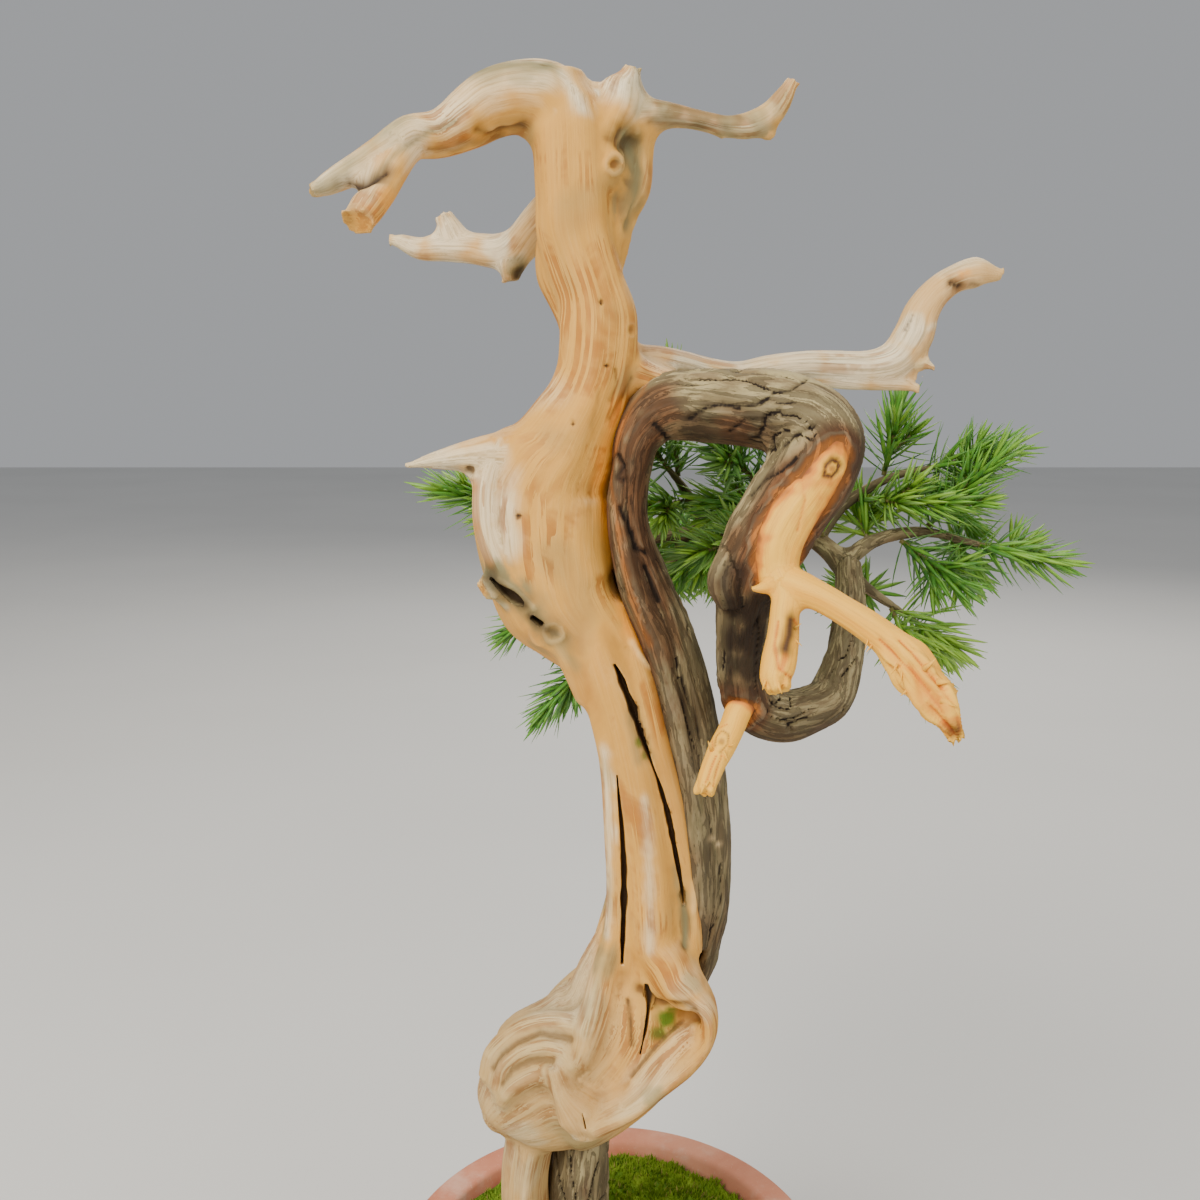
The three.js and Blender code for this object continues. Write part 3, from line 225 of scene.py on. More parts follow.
TOP_KNOT: Stations = [(-2, 2, 385, 2.5), (0.5, -3.5, 386, 2.2), (1, -5.5, 386, 1.4)]

# Bare wood: dead branches at the back and the sides
BACK_LEFT: Stations = [
    (-6, 5, 384, 5.5, 7), (-13, 16, 380.5, 5, 6), (-19, 26, 376.5, 4.5, 5.5), (-25, 34, 371, 5, 5.5),
    (-31, 38, 370, 4.8, 5), (-37, 41, 371, 4.6, 4.5), (-45, 43, 371.5, 4), (-53, 45, 371.5, 3, 3.3),
    (-58.5, 46, 373.5, 2, 2.3), (-61.5, 47, 374, 1, 1.4),
]
BACK_LEFT_HORN: Stations = [
    (-40, 42, 371, 3.5), (-42.8, 42, 374, 4.1, 3.5), (-44.4, 42, 377.2, 3.6, 3), (-45.7, 42, 380.1, 2.2, 2.4),
]
BACK_LEFT_LUMP: Stations = [(-24, 35, 372, 4, 4.5), (-27, 35, 365, 4, 4.5), (-27, 35, 362, 2, 2.5)]
RIGHT_ARM: Stations = [
    (-2, 4, 343, 5, 7), (4.5, 8, 341, 4.2, 6.2), (10, 11, 341.2, 3.8, 5.8), (18, 16, 340.2, 3.3, 5),
    (26, 21, 338.5, 3.2, 4.5), (34, 25, 337.6, 3.2, 4.2), (42.7, 28, 339, 3.6, 4), (52.6, 31, 339.9, 3.9, 4.3),
    (62.7, 34, 339.5, 4.3), (71.9, 36, 339.3, 4.8, 4.6), (78.5, 37, 341.4, 5.4, 5), (83.4, 38.5, 347.5, 6, 5),
    (85.7, 40, 353.9, 5.3, 4.8), (89.7, 41.5, 359.3, 4.5, 4.4), (95.4, 43, 363.2, 4.1, 4.3),
    (101.8, 44.5, 365, 4.8, 4), (108.8, 46, 364.4, 1.6),
]
RIGHT_ARM_SPLINTER: Stations = [(76, 36, 341, 2.5, 2.2), (83.5, 36, 340.5, 1.5), (89, 36, 339, 0.7, 0.8)]
RIGHT_ARM_ROOT: Stations = [
    (1, 2, 338.5, 5.5, 7), (7.5, 2, 336.5, 5, 7), (13, 2, 335.2, 4, 6.5), (18.5, 1, 334.8, 2.2, 4),
]
RIGHT_ARM_KEEL: Stations = [
    (49, 31, 337.5, 2), (62.5, 33, 335.2, 2.2, 2), (74, 35, 334.5, 1.9, 1.8), (81, 36, 334, 1.6),
    (85, 36, 333, 0.9, 1.1),
]
LEFT_THORN: Stations = [
    (-21, 0, 317, 6.5, 8), (-30, -2, 317.5, 5.5, 7), (-35.5, -4, 317.5, 4, 5.5), (-40.5, -6, 317, 3, 4),
    (-45, -8, 316.5, 2, 2.5), (-50, -9, 315.5, 0.6, 0.9),
]
KNOT_UPPER: Stations = [(-25, 0, 287, 4, 4.5), (-29, -6, 286, 3.8, 4), (-31, -9, 285.5, 2.6, 2.8)]
KNOT_LOWER: Stations = [(-13, -2, 276, 4.5, 5), (-16.5, -9, 274.5, 4, 4.4), (-17.5, -12, 274, 2.8, 3)]

# Bark: the live vein up the back of the trunk and the branch that it feeds
VEIN: Stations = [
    (-8, 3, TRUNK_FOOT, 8.5, 9), (-8, 3, 68, 9.5, 10), (-8.5, 3, 84, 9, 9.5), (-9, 4, 100, 8.5, 9),
    (-9, 6, 115, 8.5), (-7, 12, 129, 8), (2, 19, 143, 8.5, 7.5), (11, 19, 156, 8.5, 7.5),
    (19, 13, 168, 6.5, 7.5), (24, 7, 178, 4.5, 7.5), (25.5, 4, 187.5, 4.5, 8), (27, 2, 200, 4.8, 8.5),
    (26.5, 1, 214.5, 5, 8.5), (25, 0, 229, 5.2, 8.5), (22.5, 0, 243, 6, 8.5), (19.5, 0, 256.5, 6, 8.5),
    (15.5, 0, 271, 5.5, 8.5), (11, 0, 282.5, 5, 8.5), (7, 0, 292.5, 4.5, 8.5), (4.5, 0, 303, 4.2, 8.5),
    (4.5, 0, 312.5, 4.6, 8.5), (5.5, -1, 321, 5.8, 9), (9.5, -1, 327, 7.5, 9.5), (14.5, -2, 329.5, 8.5, 9.5),
    (21.5, -4, 330, 8.7, 9.5), (30.5, -8, 329.5, 9.2, 10), (39.5, -11, 328.5, 10, 10.5),
    (45.5, -14, 325.5, 10.5, 11), (48, -17, 320.5, 11), (45.5, -19, 313.5, 10.5, 11),
    (40.5, -20, 306, 10, 10.5), (36, -21, 298.5, 9.7, 10.5), (33, -20, 291.5, 8.5, 9.5), (32, -17, 284, 7, 8),
    (32, -14, 274.5, 6.4, 7), (32.5, -11, 264, 6.5, 7), (35.5, -8, 255.5, 6.6, 7), (41.5, -5, 251.5, 6.6, 6.8),
    (49.5, 0, 251, 6.2, 6.5), (57, 6, 252.5, 6, 6.3), (61.5, 13, 257.5, 5.5, 5.8), (64.5, 21, 264, 5),
    (67, 29, 271, 4.8, 4.7), (68.5, 37, 276.5, 4.4, 4.3), (69.5, 45, 282.5, 3.8),
]
VEIN_SEAM: Stations = [
    (3, -3, 320, 2.5, 5), (1.5, -4, 303, 3, 6), (3.5, -5, 292, 3.5, 6), (6.5, -5, 282, 4, 6.5),
    (11, -5, 271, 4.5, 6.5), (15, -5, 256.5, 4.5, 6.5), (18, -5, 243, 4.5, 6.5), (20.5, -5, 229, 4.5, 6.5),
    (22, -5, 214, 4.2, 6.5), (23, -4, 200, 3.5, 6), (23.5, -2, 188, 2, 4),
]
VEIN_FLANK: Stations = [
    (-8, 11, 122, 5, 6), (3, 18, 140, 7, 6), (14, 15, 160, 7), (18, 10, 180, 6, 7), (19, 8, 205, 6, 7),
    (18, 8, 230, 6, 7), (14, 9, 255, 6, 7), (8, 10, 275, 5.5, 6.5), (3, 11, 295, 5, 6), (1, 10, 312, 4.5, 5.5),
]
BARK_KNUCKLE: Stations = [(29, -21, 296, 4, 5), (26.5, -24, 290, 4.6, 5), (28, -23, 284.5, 3.6, 4)]

# Twigs of the crown as [x, y, z, radius], rooted in the end of the branch
TWIGS: list[Stations] = [
    [(69, 43, 281, 3.4), (62, 58, 288, 3), (48, 68, 292, 2.7), (28, 74, 289, 2.3), (8, 78, 284, 1.8),
     (-1, 78, 279, 1.4), (-9, 77, 273, 1.1)],
    [(68, 46, 283, 2.8), (80, 58, 288, 2.3), (95, 62, 290, 1.8), (113, 63, 286, 1.1)],
    [(62, 58, 288, 2.4), (72, 66, 298, 2), (86, 68, 306, 1.5), (98, 68, 309, 1.1)],
    [(48, 68, 292, 2.2), (50, 74, 304, 1.6), (54, 78, 312, 1.1)],
    [(69, 44, 281, 2.2), (80, 54, 272, 1.7), (89, 58, 266, 1.1)],
    [(8, 78, 284, 1.8), (-9, 76, 291, 1.5), (-24, 73, 295, 1.1)],
    [(48, 68, 292, 2.1), (44, 86, 293, 1.6), (38, 101, 289, 1.1)],
    [(28, 74, 289, 2), (12, 80, 268, 1.5), (-3, 80, 250, 1.1)],
    [(30, 73, 289, 1.9), (24, 64, 301, 1.5), (17, 56, 310, 1.1)],
    [(62, 58, 288, 2.2), (51, 50, 299, 1.7), (42, 45, 307, 1.1)],
    [(58, 55, 292, 1.8), (48, 43, 293, 1.4), (41, 37, 292, 1.1)],
]
BACKWARD_TWIG = 6

# Fresh wood laid bare by peeling the bark
PEELED_PATCH: Stations = [
    (51.5, -20.5, 325, 2, 3), (49.5, -25.5, 318, 4.5), (45, -26.5, 311.5, 5.5, 5), (40, -27.5, 304.5, 6, 5.5),
    (37.5, -28, 298, 6, 5.5), (38, -28.5, 290.5, 5),
]
PEELED_FRONT: Stations = [
    (38, -29, 293, 4, 5), (39.3, -32, 288.7, 3.4, 4.5), (38.8, -34.5, 284.6, 3.4, 4),
    (38.2, -37, 279.8, 3.7, 3.9), (36.9, -40, 274.4, 4.2), (36.1, -42, 271.2, 3.9, 4),
    (36.4, -43.5, 268.9, 2.6, 3),
]
PEELED_RIGHT: Stations = [
    (38, -29, 291, 4, 5), (41.8, -33, 290, 4.3, 4.5), (46.3, -36, 288.4, 3.6, 4),
    (51.3, -38.5, 285.7, 3.4, 3.7), (56.4, -41, 282.6, 3.6, 3.8), (60.5, -43, 279.5, 3.8, 4),
    (63.2, -45.5, 276.6, 4.5, 4.6), (66, -47.5, 273, 5), (68.9, -49.5, 269.4, 5), (71.1, -51, 266.2, 3.9, 4),
    (72.8, -52, 263.2, 2.3, 2.6), (73.8, -53, 260.5, 1, 1.2),
]
PEELED_RIGHT_BARB: Stations = [(66, -48, 274, 2.5), (70.5, -49, 272.5, 1.8, 2), (73, -50, 270, 0.7, 0.8)]
PEELED_THORN: Stations = [(37, -31, 291, 2, 2.5), (33.5, -34, 290, 1.4, 1.5), (31, -35, 290, 0.4, 0.5)]
PEELED_LOW: Stations = [
    (34, -11, 259, 4, 4.5), (31.3, -14, 255.5, 3.5, 4), (29.3, -17, 251.7, 3.4, 3.6),
    (26.8, -20, 248, 3.5, 3.3), (24.6, -23, 244.8, 3, 2.9), (22.6, -26.5, 241.2, 2.7),
    (21.8, -28, 239.6, 2.4, 2.5),
]


class Across(Enum):
    """The direction in which a limb's half depth is measured."""

    FRONT = (0.0, 1.0, 0.0)
    UP = (0.0, 0.0, 1.0)
    SIDE = (1.0, 0.0, 0.0)


def smooth_line(points: np.ndarray, at: np.ndarray) -> np.ndarray:
    """Places on the centripetal curve through some points.

    Args:
        points: The points that the curve passes, one a row.
        at: Where to read the curve, counted in points from 0 to the last.

    Returns:
        One place a row.
    """
    padded = np.vstack([2 * points[0] - points[1], points, 2 * points[-1] - points[-2]])
    piece = np.clip(at.astype(int), 0, len(points) - 2)
    w = (at - piece)[:, None]
    p0, p1, p2, p3 = (padded[piece + k] for k in range(4))
    d0, d1, d2 = (np.sum((b - a) ** 2, axis=1)[:, None] ** 0.25 for a, b in ((p0, p1), (p1, p2), (p2, p3)))
    m1 = ((p1 - p0) / d0 - (p2 - p0) / (d0 + d1) + (p2 - p1) / d1) * d1
    m2 = ((p2 - p1) / d1 - (p3 - p1) / (d1 + d2) + (p3 - p2) / d2) * d1
    return p1 + m1 * w + (3 * (p2 - p1) - 2 * m1 - m2) * w**2 + (2 * (p1 - p2) + m1 + m2) * w**3


def unit(rows: np.ndarray) -> np.ndarray:
    """Each row at length 1."""
    return rows / np.maximum(np.linalg.norm(rows, axis=1, keepdims=True), 1e-9)


def smoothstep(values: np.ndarray, low: float, high: float) -> np.ndarray:
    """0 below low, 1 above high, and a smooth rise between them."""
    t = np.clip((values - low) / (high - low), 0.0, 1.0)
    return t * t * (3 - 2 * t)


def noise_of(points: np.ndarray, seed: float) -> np.ndarray:
    """Smooth noise from about -1 to 1 at each row of points, shifted by a seed."""
    return np.array([noise.noise(p) for p in (points + seed).tolist()])


def along_grain(
    grain: np.ndarray, across: float, along: float, seed: float, bend: np.ndarray | float = 0.0
) -> np.ndarray:
    """Noise from about -1 to 1, as fine across and along the grain as given, at places moved by bend."""
    return noise_of(grain * np.array([across, across, along]) + bend, seed)


@dataclass
class Samples:
    """A limb read at closely spaced places along its line."""

    centre: np.ndarray
    tangent: np.ndarray
    sideways: np.ndarray
    depthwise: np.ndarray
    half_width: np.ndarray
    half_depth: np.ndarray
    along: np.ndarray
    station: np.ndarray


@dataclass(frozen=True)
class Limb:
    """A bent, tapering limb of wood.

    Attributes:
        stations: [x, y, z, half width, half depth or nothing if the same], from the root to the end.
        across: The direction in which the half depth is measured.
        sides: Corners of its section.
        ribs: Ribs round its section.
        rib_depth: Their depth as a share of the radius.
        grow: Millimetres added on every side.
        twist: Turn of the grain round the limb, in radians a millimetre.
        fill: Its size as a share of what the stations say.
        jag: How far its broken end is jagged, in millimetres.
    """

    stations: Stations
    across: Across = Across.FRONT
    sides: int = 24
    ribs: int = 0
    rib_depth: float = 0.0
    grow: float = 0.0
    twist: float = 0.0
    fill: float = 0.96
    jag: float = 0.0

    def samples(self, step: float = 1.2) -> Samples:
        """Reads the limb along its smooth line.

        Args:
            step: Millimetres between two places.

        Returns:
            The limb's places, directions and sizes.
        """
        rows = np.array([(*s, s[3]) if len(s) == 4 else s for s in self.stations], float)
        points = rows[:, :3] + np.array(TREE_PLACE)
        chord = float(np.sum(np.linalg.norm(np.diff(points, axis=0), axis=1)))
        count = max(len(points), int(chord / step) + 1)
        at = np.linspace(0, len(points) - 1, count)
        centre = smooth_line(points, at)
        tangent = unit(np.gradient(centre, axis=0))
        sideways = unit(np.cross(np.array(self.across.value), tangent))
        depthwise = unit(np.cross(sideways, tangent))
        knots = np.arange(len(points))
        widths = np.interp(at, knots, rows[:, 3]) * self.fill + self.grow
        depths = np.interp(at, knots, rows[:, 4]) * self.fill + self.grow
        steps = np.linalg.norm(np.diff(centre, axis=0), axis=1)
        along = np.concatenate([[0.0], np.cumsum(steps)])
        return Samples(centre, tangent, sideways, depthwise, widths, depths, along, at)

    def mesh(self) -> Mesh:
        """Bends a capped cylinder along the limb's line.

        Returns:
            The mesh, in metres.
        """
        s = self.samples(LIMB_STEP)
        rings = len(s.station) - 1
        bm = bmesh.new()
        bmesh.ops.create_cone(bm, cap_ends=True, segments=self.sides, radius1=1, radius2=1, depth=1)
        upright = [e for e in bm.edges if abs(e.verts[0].co.z - e.verts[1].co.z) > 0.5]
        bmesh.ops.subdivide_edges(bm, edges=upright, cuts=rings - 1, use_grid_fill=True)
        mesh = made(bm, "limb")
        co = coordinates(mesh)
        ring = np.rint((co[:, 2] + 0.5) * rings).astype(int)
        angle = np.arctan2(co[:, 0], co[:, 1])
        swell = 1 + self.rib_depth * np.cos(self.ribs * angle + s.station[ring] * RIB_TURN)
        wide = (co[:, 0] * s.half_width[ring] * swell)[:, None]
        deep = (co[:, 1] * s.half_depth[ring] * swell)[:, None]
        place = s.centre[ring] + wide * s.sideways[ring] + deep * s.depthwise[ring]
        teeth = self.jag * noise_of(np.stack([co[:, 0], co[:, 1], 0 * angle], axis=1) * 2.3, s.along[-1])
        shift = np.where(ring == 0, -self.grow, np.where(ring == rings, self.grow + teeth, 0.0))
        place += shift[:, None] * s.tangent[ring]
        set_coordinates(mesh, place * MM)
        return mesh


def made(bm: bmesh.types.BMesh, name: str) -> Mesh:
    """Turns what was built up into a mesh.

    Args:
        bm: What was built up, which is freed.
        name: The mesh's name.

    Returns:
        The mesh.
    """
    mesh = bpy.data.meshes.new(name)
    bm.to_mesh(mesh)
    bm.free()
    return mesh


def vectors(items: bpy.types.bpy_prop_collection, key: str) -> np.ndarray:
    """Reads a vector of each item of a collection.

    Args:
        items: The collection.
        key: The vector's name.

    Returns:
        One vector a row.
    """
    rows = np.zeros(len(items) * 3, np.float32)
    items.foreach_get(key, rows)
    return rows.reshape(-1, 3).astype(float)


def coordinates(mesh: Mesh) -> np.ndarray:
    """A mesh's vertices, one a row."""
    return vectors(mesh.vertices, "co")


def set_coordinates(mesh: Mesh, co: np.ndarray) -> None:
    """Moves a mesh's vertices to the given rows."""
    mesh.vertices.foreach_set("co", co.astype(np.float32).ravel())
    mesh.update()


def normals(mesh: Mesh) -> np.ndarray:
    """A mesh's vertex normals, one a row."""
    return vectors(mesh.vertex_normals, "vector")


def store(mesh: Mesh, name: str, values: np.ndarray) -> None:
    """Keeps one number or one vector for each vertex as an attribute that a material reads.

    Args:
        mesh: The mesh.
        name: The attribute's name.
        values: The numbers, or one vector a row.
    """
    kind, key = ("FLOAT_VECTOR", "vector") if values.ndim == 2 else ("FLOAT", "value")
    attribute = mesh.attributes.new(name, kind, "POINT")
    attribute.data.foreach_set(key, values.astype(np.float32).ravel())


def fused(parts: list[Mesh], name: str) -> Mesh:
    """Puts several meshes in one, unchanged.

    Args:
        parts: The meshes, which are removed.
        name: The new mesh's name.

    Returns:
        The mesh.
    """
    bm = bmesh.new()
    for part in parts:
        bm.from_mesh(part)
        bpy.data.meshes.remove(part)
    return made(bm, name)


def linked(mesh: Mesh, name: str) -> Object:
    """Puts a mesh in the scene.

    Args:
        mesh: The mesh.
        name: The object's name.

    Returns:
        The new object.
    """
    obj = bpy.data.objects.new(name, mesh)
    bpy.context.scene.collection.objects.link(obj)
    return obj


def applied(obj: Object) -> Mesh:
    """Makes the mesh that an object's modifiers give.

    Args:
        obj: The object, which is removed.

    Returns:
        The mesh.
    """
    graph = bpy.context.evaluated_depsgraph_get()
    mesh = bpy.data.meshes.new_from_object(obj.evaluated_get(graph))
    bpy.data.objects.remove(obj)
    return mesh


def bored(mesh: Mesh, cutter: Object) -> Mesh:
    """Cuts a closed object from a mesh.

    Args:
        mesh: The mesh, which is used up.
        cutter: The object, which is removed.

    Returns:
        What is left.
    """
    obj = linked(mesh, "cutting")
    cut = obj.modifiers.new("Cut", "BOOLEAN")
    cut.operation = "DIFFERENCE"
    cut.solver = "MANIFOLD"
    cut.object = cutter
    left = applied(obj)
    bpy.data.objects.remove(cutter)
    return left


def ridden(mesh: Mesh, name: str, slot: str, nodes: tuple[str, ...]) -> Object:
    """Makes a finished piece that stands for CAD nodes.

    Args:
        mesh: Its mesh, in place.
        name: The piece's name.
        slot: The record's material slot; not used.
        nodes: The nodes that it replaces.

    Returns:
        The piece.
    """
    obj = linked(mesh, name)
    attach(obj, BODY)
    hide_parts(*nodes)
    LOG.info("%s: %d faces", name, len(mesh.polygons))
    return obj


@dataclass
class Reading:
    """What the limbs say at each of some points."""

    distance: np.ndarray
    grain: np.ndarray
    size: np.ndarray
    limb: np.ndarray
    share: np.ndarray
    sure: np.ndarray


def read_limbs(limbs: list[Limb], points: np.ndarray, reach: float = 14.0) -> Reading:
    """Finds the limb on whose skin each point lies, and the point's place in its grain.

    Args:
        limbs: The limbs.
        points: Points in millimetres.
        reach: How far from a limb a point is still read.

    Returns:
        The distance from the nearest skin, the place in the grain, the limb's size and number, how
        far out along it the point lies, and how far the point is from where two limbs meet (0 to 1).
    """
    count = len(points)
    best = np.full(count, FAR)
    second = np.full(count, FAR)
    share = np.zeros(count)
    grain = np.zeros((count, 3))
    size = np.full(count, 5.0)
    owner = np.full(count, -1)
    for number, limb in enumerate(limbs):
        s = limb.samples()
        margin = reach + max(s.half_width.max(), s.half_depth.max())
        near = np.all((points > s.centre.min(0) - margin) & (points < s.centre.max(0) + margin), axis=1)
        chosen = np.nonzero(near)[0]
        if not len(chosen):
            continue
        mean = float(np.mean(np.sqrt(s.half_width * s.half_depth)))
        squares = np.sum(s.centre**2, axis=1)
        for start in range(0, len(chosen), BATCH):
            rows = chosen[start : start + BATCH]
            p = points[rows]
            k = np.argmin(squares[None, :] - 2 * p @ s.centre.T, axis=1)
            offset = p - s.centre[k]
            x = np.sum(offset * s.sideways[k], axis=1) / s.half_width[k]
            y = np.sum(offset * s.depthwise[k], axis=1) / s.half_depth[k]
            past = np.sum(offset * s.tangent[k], axis=1)
            local = np.sqrt(s.half_width[k] * s.half_depth[k])
            ends = (k == 0) | (k == len(s.centre) - 1)
            beyond = np.where(ends, np.abs(past), 0.0)
            side = (np.hypot(x, y) - 1) * local
            past_end = np.hypot(np.maximum(side, 0), beyond) + np.minimum(side, 0) * 0.01
            distance = np.where(beyond > 0, past_end, side)
            second[rows] = np.minimum(second[rows], np.maximum(best[rows], distance))
            better = distance < best[rows]
            hit = rows[better]
            best[hit] = distance[better]
            length = s.along[k] + past
            turn = limb.twist * length
            gx = (x * np.cos(turn) - y * np.sin(turn)) * mean
            gy = (x * np.sin(turn) + y * np.cos(turn)) * mean
            grain[hit] = np.stack([gx, gy, length + GRAIN_SHIFT * number], axis=1)[better]
            size[hit] = local[better]
            owner[hit] = number
            share[hit] = (length / s.along[-1])[better]
    return Reading(best, grain, size, owner, share, smoothstep(second - best, 0.0, SEAM_WIDTH))


@dataclass(frozen=True)
class PhotoView:
    """The camera's line of sight, for placing marks by where they show in the image."""

    place: tuple[float, float, float] = CAMERA_PLACE
    dip: float = CAMERA_DIP
    focal: float = IMAGE_SIZE / 2 / math.tan(FIELD_OF_VIEW / 2)

    def hit(self, tree: BVHTree, column: float, row: float) -> Vector | None:
        """Finds the first place of a mesh that shows at a pixel.

        Args:
            tree: The mesh, ready for sight lines.
            column: The pixel's column.
            row: Its row.

        Returns:
            The place in millimetres, or nothing.
        """
        right = (column - IMAGE_SIZE / 2) / self.focal
        up = (IMAGE_SIZE / 2 - row) / self.focal
        ahead = Vector((0, math.cos(self.dip), -math.sin(self.dip)))
        above = Vector((0, math.sin(self.dip), math.cos(self.dip)))
        ray = (ahead + up * above + Vector((right, 0, 0))).normalized()
        found = tree.ray_cast(Vector(self.place) * MM, ray)[0]
        return found / MM if found else None

    def trace(self, tree: BVHTree, path: list[Station], step: float = 4.0) -> np.ndarray:
        """Where a line across the image falls on a mesh.

        Args:
            tree: The mesh.
            path: Points of the line: column, row and whatever else they carry.
            step: Pixels between two places.

        Returns:
            One place a row in millimetres, followed by what the line carries there.
        """
        points = np.array(path, float)
        at = np.concatenate([[0.0], np.cumsum(np.linalg.norm(np.diff(points[:, :2], axis=0), axis=1))])
        places = []
        for t in np.linspace(0, at[-1], max(2, int(at[-1] / step))):
            column, row, *rest = (float(np.interp(t, at, values)) for values in points.T)
            found = self.hit(tree, column, row)
            if found is not None:
                places.append((*found, *rest))
        return np.array(places)


VIEW = PhotoView()


class Stain(Enum):
    """What a patch of colour on the wood is. The hollow one is painted shade in clefts, pits, grooves and under
    folds, and dark wood too; the algae one also paints shade beside the ribs and in a hollow.
    """

    WEATHER = "weather"
    ALGAE_AND_SHADE = "algae_and_shade"
    AMBER = "amber"
    PALE = "pale"
    MOSSY = "mossy"
    SHADE_AND_DARK = "shade_and_dark"


Stains = dict[Stain, np.ndarray]


@dataclass(frozen=True)
class Patch:
    """A stain or painted shade of some radius in millimetres where it shows at an image column and row."""

    column: float
    row: float
    radius: float
    stain: Stain
    strength: float = 1.0


def patches(stain: Stain, strength: float, *places: Station) -> list[Patch]:
    """Patches of one stain and strength, at places of (column, row, radius)."""
    return [Patch(*place, stain, strength) for place in places]


@dataclass(frozen=True)
class Mark:
    """A knot or pit in the wood, with painted shade in it, where it shows at an image column and row, in
    millimetres.
    """

    column: float
    row: float
    radius: float
    depth: float
    rim: float = 0.0
    dark: float = 1.0
    pale_rim: float = 0.0


@dataclass(frozen=True)
class Stroke:
    """A ridge, groove or line of colour, painted shade among them, along image places (column, row), in
    millimetres.
    """

    path: list[Station]
    width: float
    height: float = 0.0
    stain: Stain | None = None
    strength: float = 1.0


@dataclass(frozen=True)
class Cleft:
    """A deep crack along image places (column, row, half width), cut so many millimetres deep."""

    path: list[Station]
    depth: float

    def limb(self, tree: BVHTree) -> Limb:
        """Lays the crack along a mesh.

        Args:
            tree: The mesh, ready for sight lines.

        Returns:
            The space that is cut away.
        """
        places = VIEW.trace(tree, self.path, 6.0)
        places[:, 3] *= 1 + 0.6 * noise_of(places[:, :3] / 2.5, 67.0)
        places[:, :3] -= np.array(TREE_PLACE)
        return Limb([(*place, self.depth) for place in places.tolist()], sides=10, fill=1.0)


@dataclass(frozen=True)
class Splinter:
    """A thin torn fibre from one image place (column, row) to another.

    Attributes:
        column: Where its root shows.
        row: Where its root shows.
        to_column: Where its end shows.
        to_row: Where its end shows.
        thickness: Half its thickness at the root, in millimetres.
        lean_across: How far it leans to the camera for each millimetre that it runs across.
        lean_up: The same for each millimetre that it runs up or down.
        middle: Where its middle lies on the way from root to end, so that its root is sunk in the wood.
    """

    column: float
    row: float
    to_column: float
    to_row: float
    thickness: float = 0.5
    lean_across: float = 0.4
    lean_up: float = 0.3
    middle: float = 0.4

    def mesh(self, tree: BVHTree) -> Mesh | None:
        """Stands the fibre on a mesh, leaning a little towards the camera.

        Args:
            tree: The mesh, ready for sight lines.

        Returns:
            The fibre, or nothing if no wood shows there.
        """
        root = VIEW.hit(tree, self.column, self.row)
        if root is None:
            return None
        scale = (root - Vector(VIEW.place)).length / VIEW.focal
        across = (self.to_column - self.column) * scale
        up = (self.row - self.to_row) * scale
        reach = Vector((across, -self.lean_across * abs(across) - self.lean_up * abs(up), up))
        bm = bmesh.new()
        bmesh.ops.create_cone(
            bm, cap_ends=True, segments=5, radius1=self.thickness, radius2=SPLINTER_TIP, depth=reach.length
        )
        turn = reach.to_track_quat("Z", "Y").to_matrix().to_4x4()
        place = Matrix.Translation(root + self.middle * reach)
        bmesh.ops.transform(bm, matrix=Matrix.Scale(MM, 4) @ place @ turn, verts=bm.verts)
        return made(bm, "splinter")


@dataclass(frozen=True)
class WornGrain:
    """Relief of bare wood, in millimetres."""

    swell: float = 0.5
    flute: float = 0.14
    thread: float = 0.06
    check: float = 0.2


@dataclass
class Skin:
    """The skin of a piece of wood while it is carved and stained.

    Attributes:
        tree: The skin before it was cut, for sight lines.
        co: Its vertices in millimetres, one a row.
        facing: Their normals.
        reading: What the limbs say at them.
        stains: How much they have of each stain, painted shade among them.
    """

    tree: BVHTree
    co: np.ndarray
    facing: np.ndarray
    reading: Reading
    stains: Stains

    def add(self, stain: Stain, amount: np.ndarray, rows: np.ndarray | slice | int = slice(None)) -> None:
        """Raises a stain to the given amounts where it is less, on all or some of the vertices."""
        self.stains[stain][rows] = np.maximum(self.stains[stain][rows], amount)


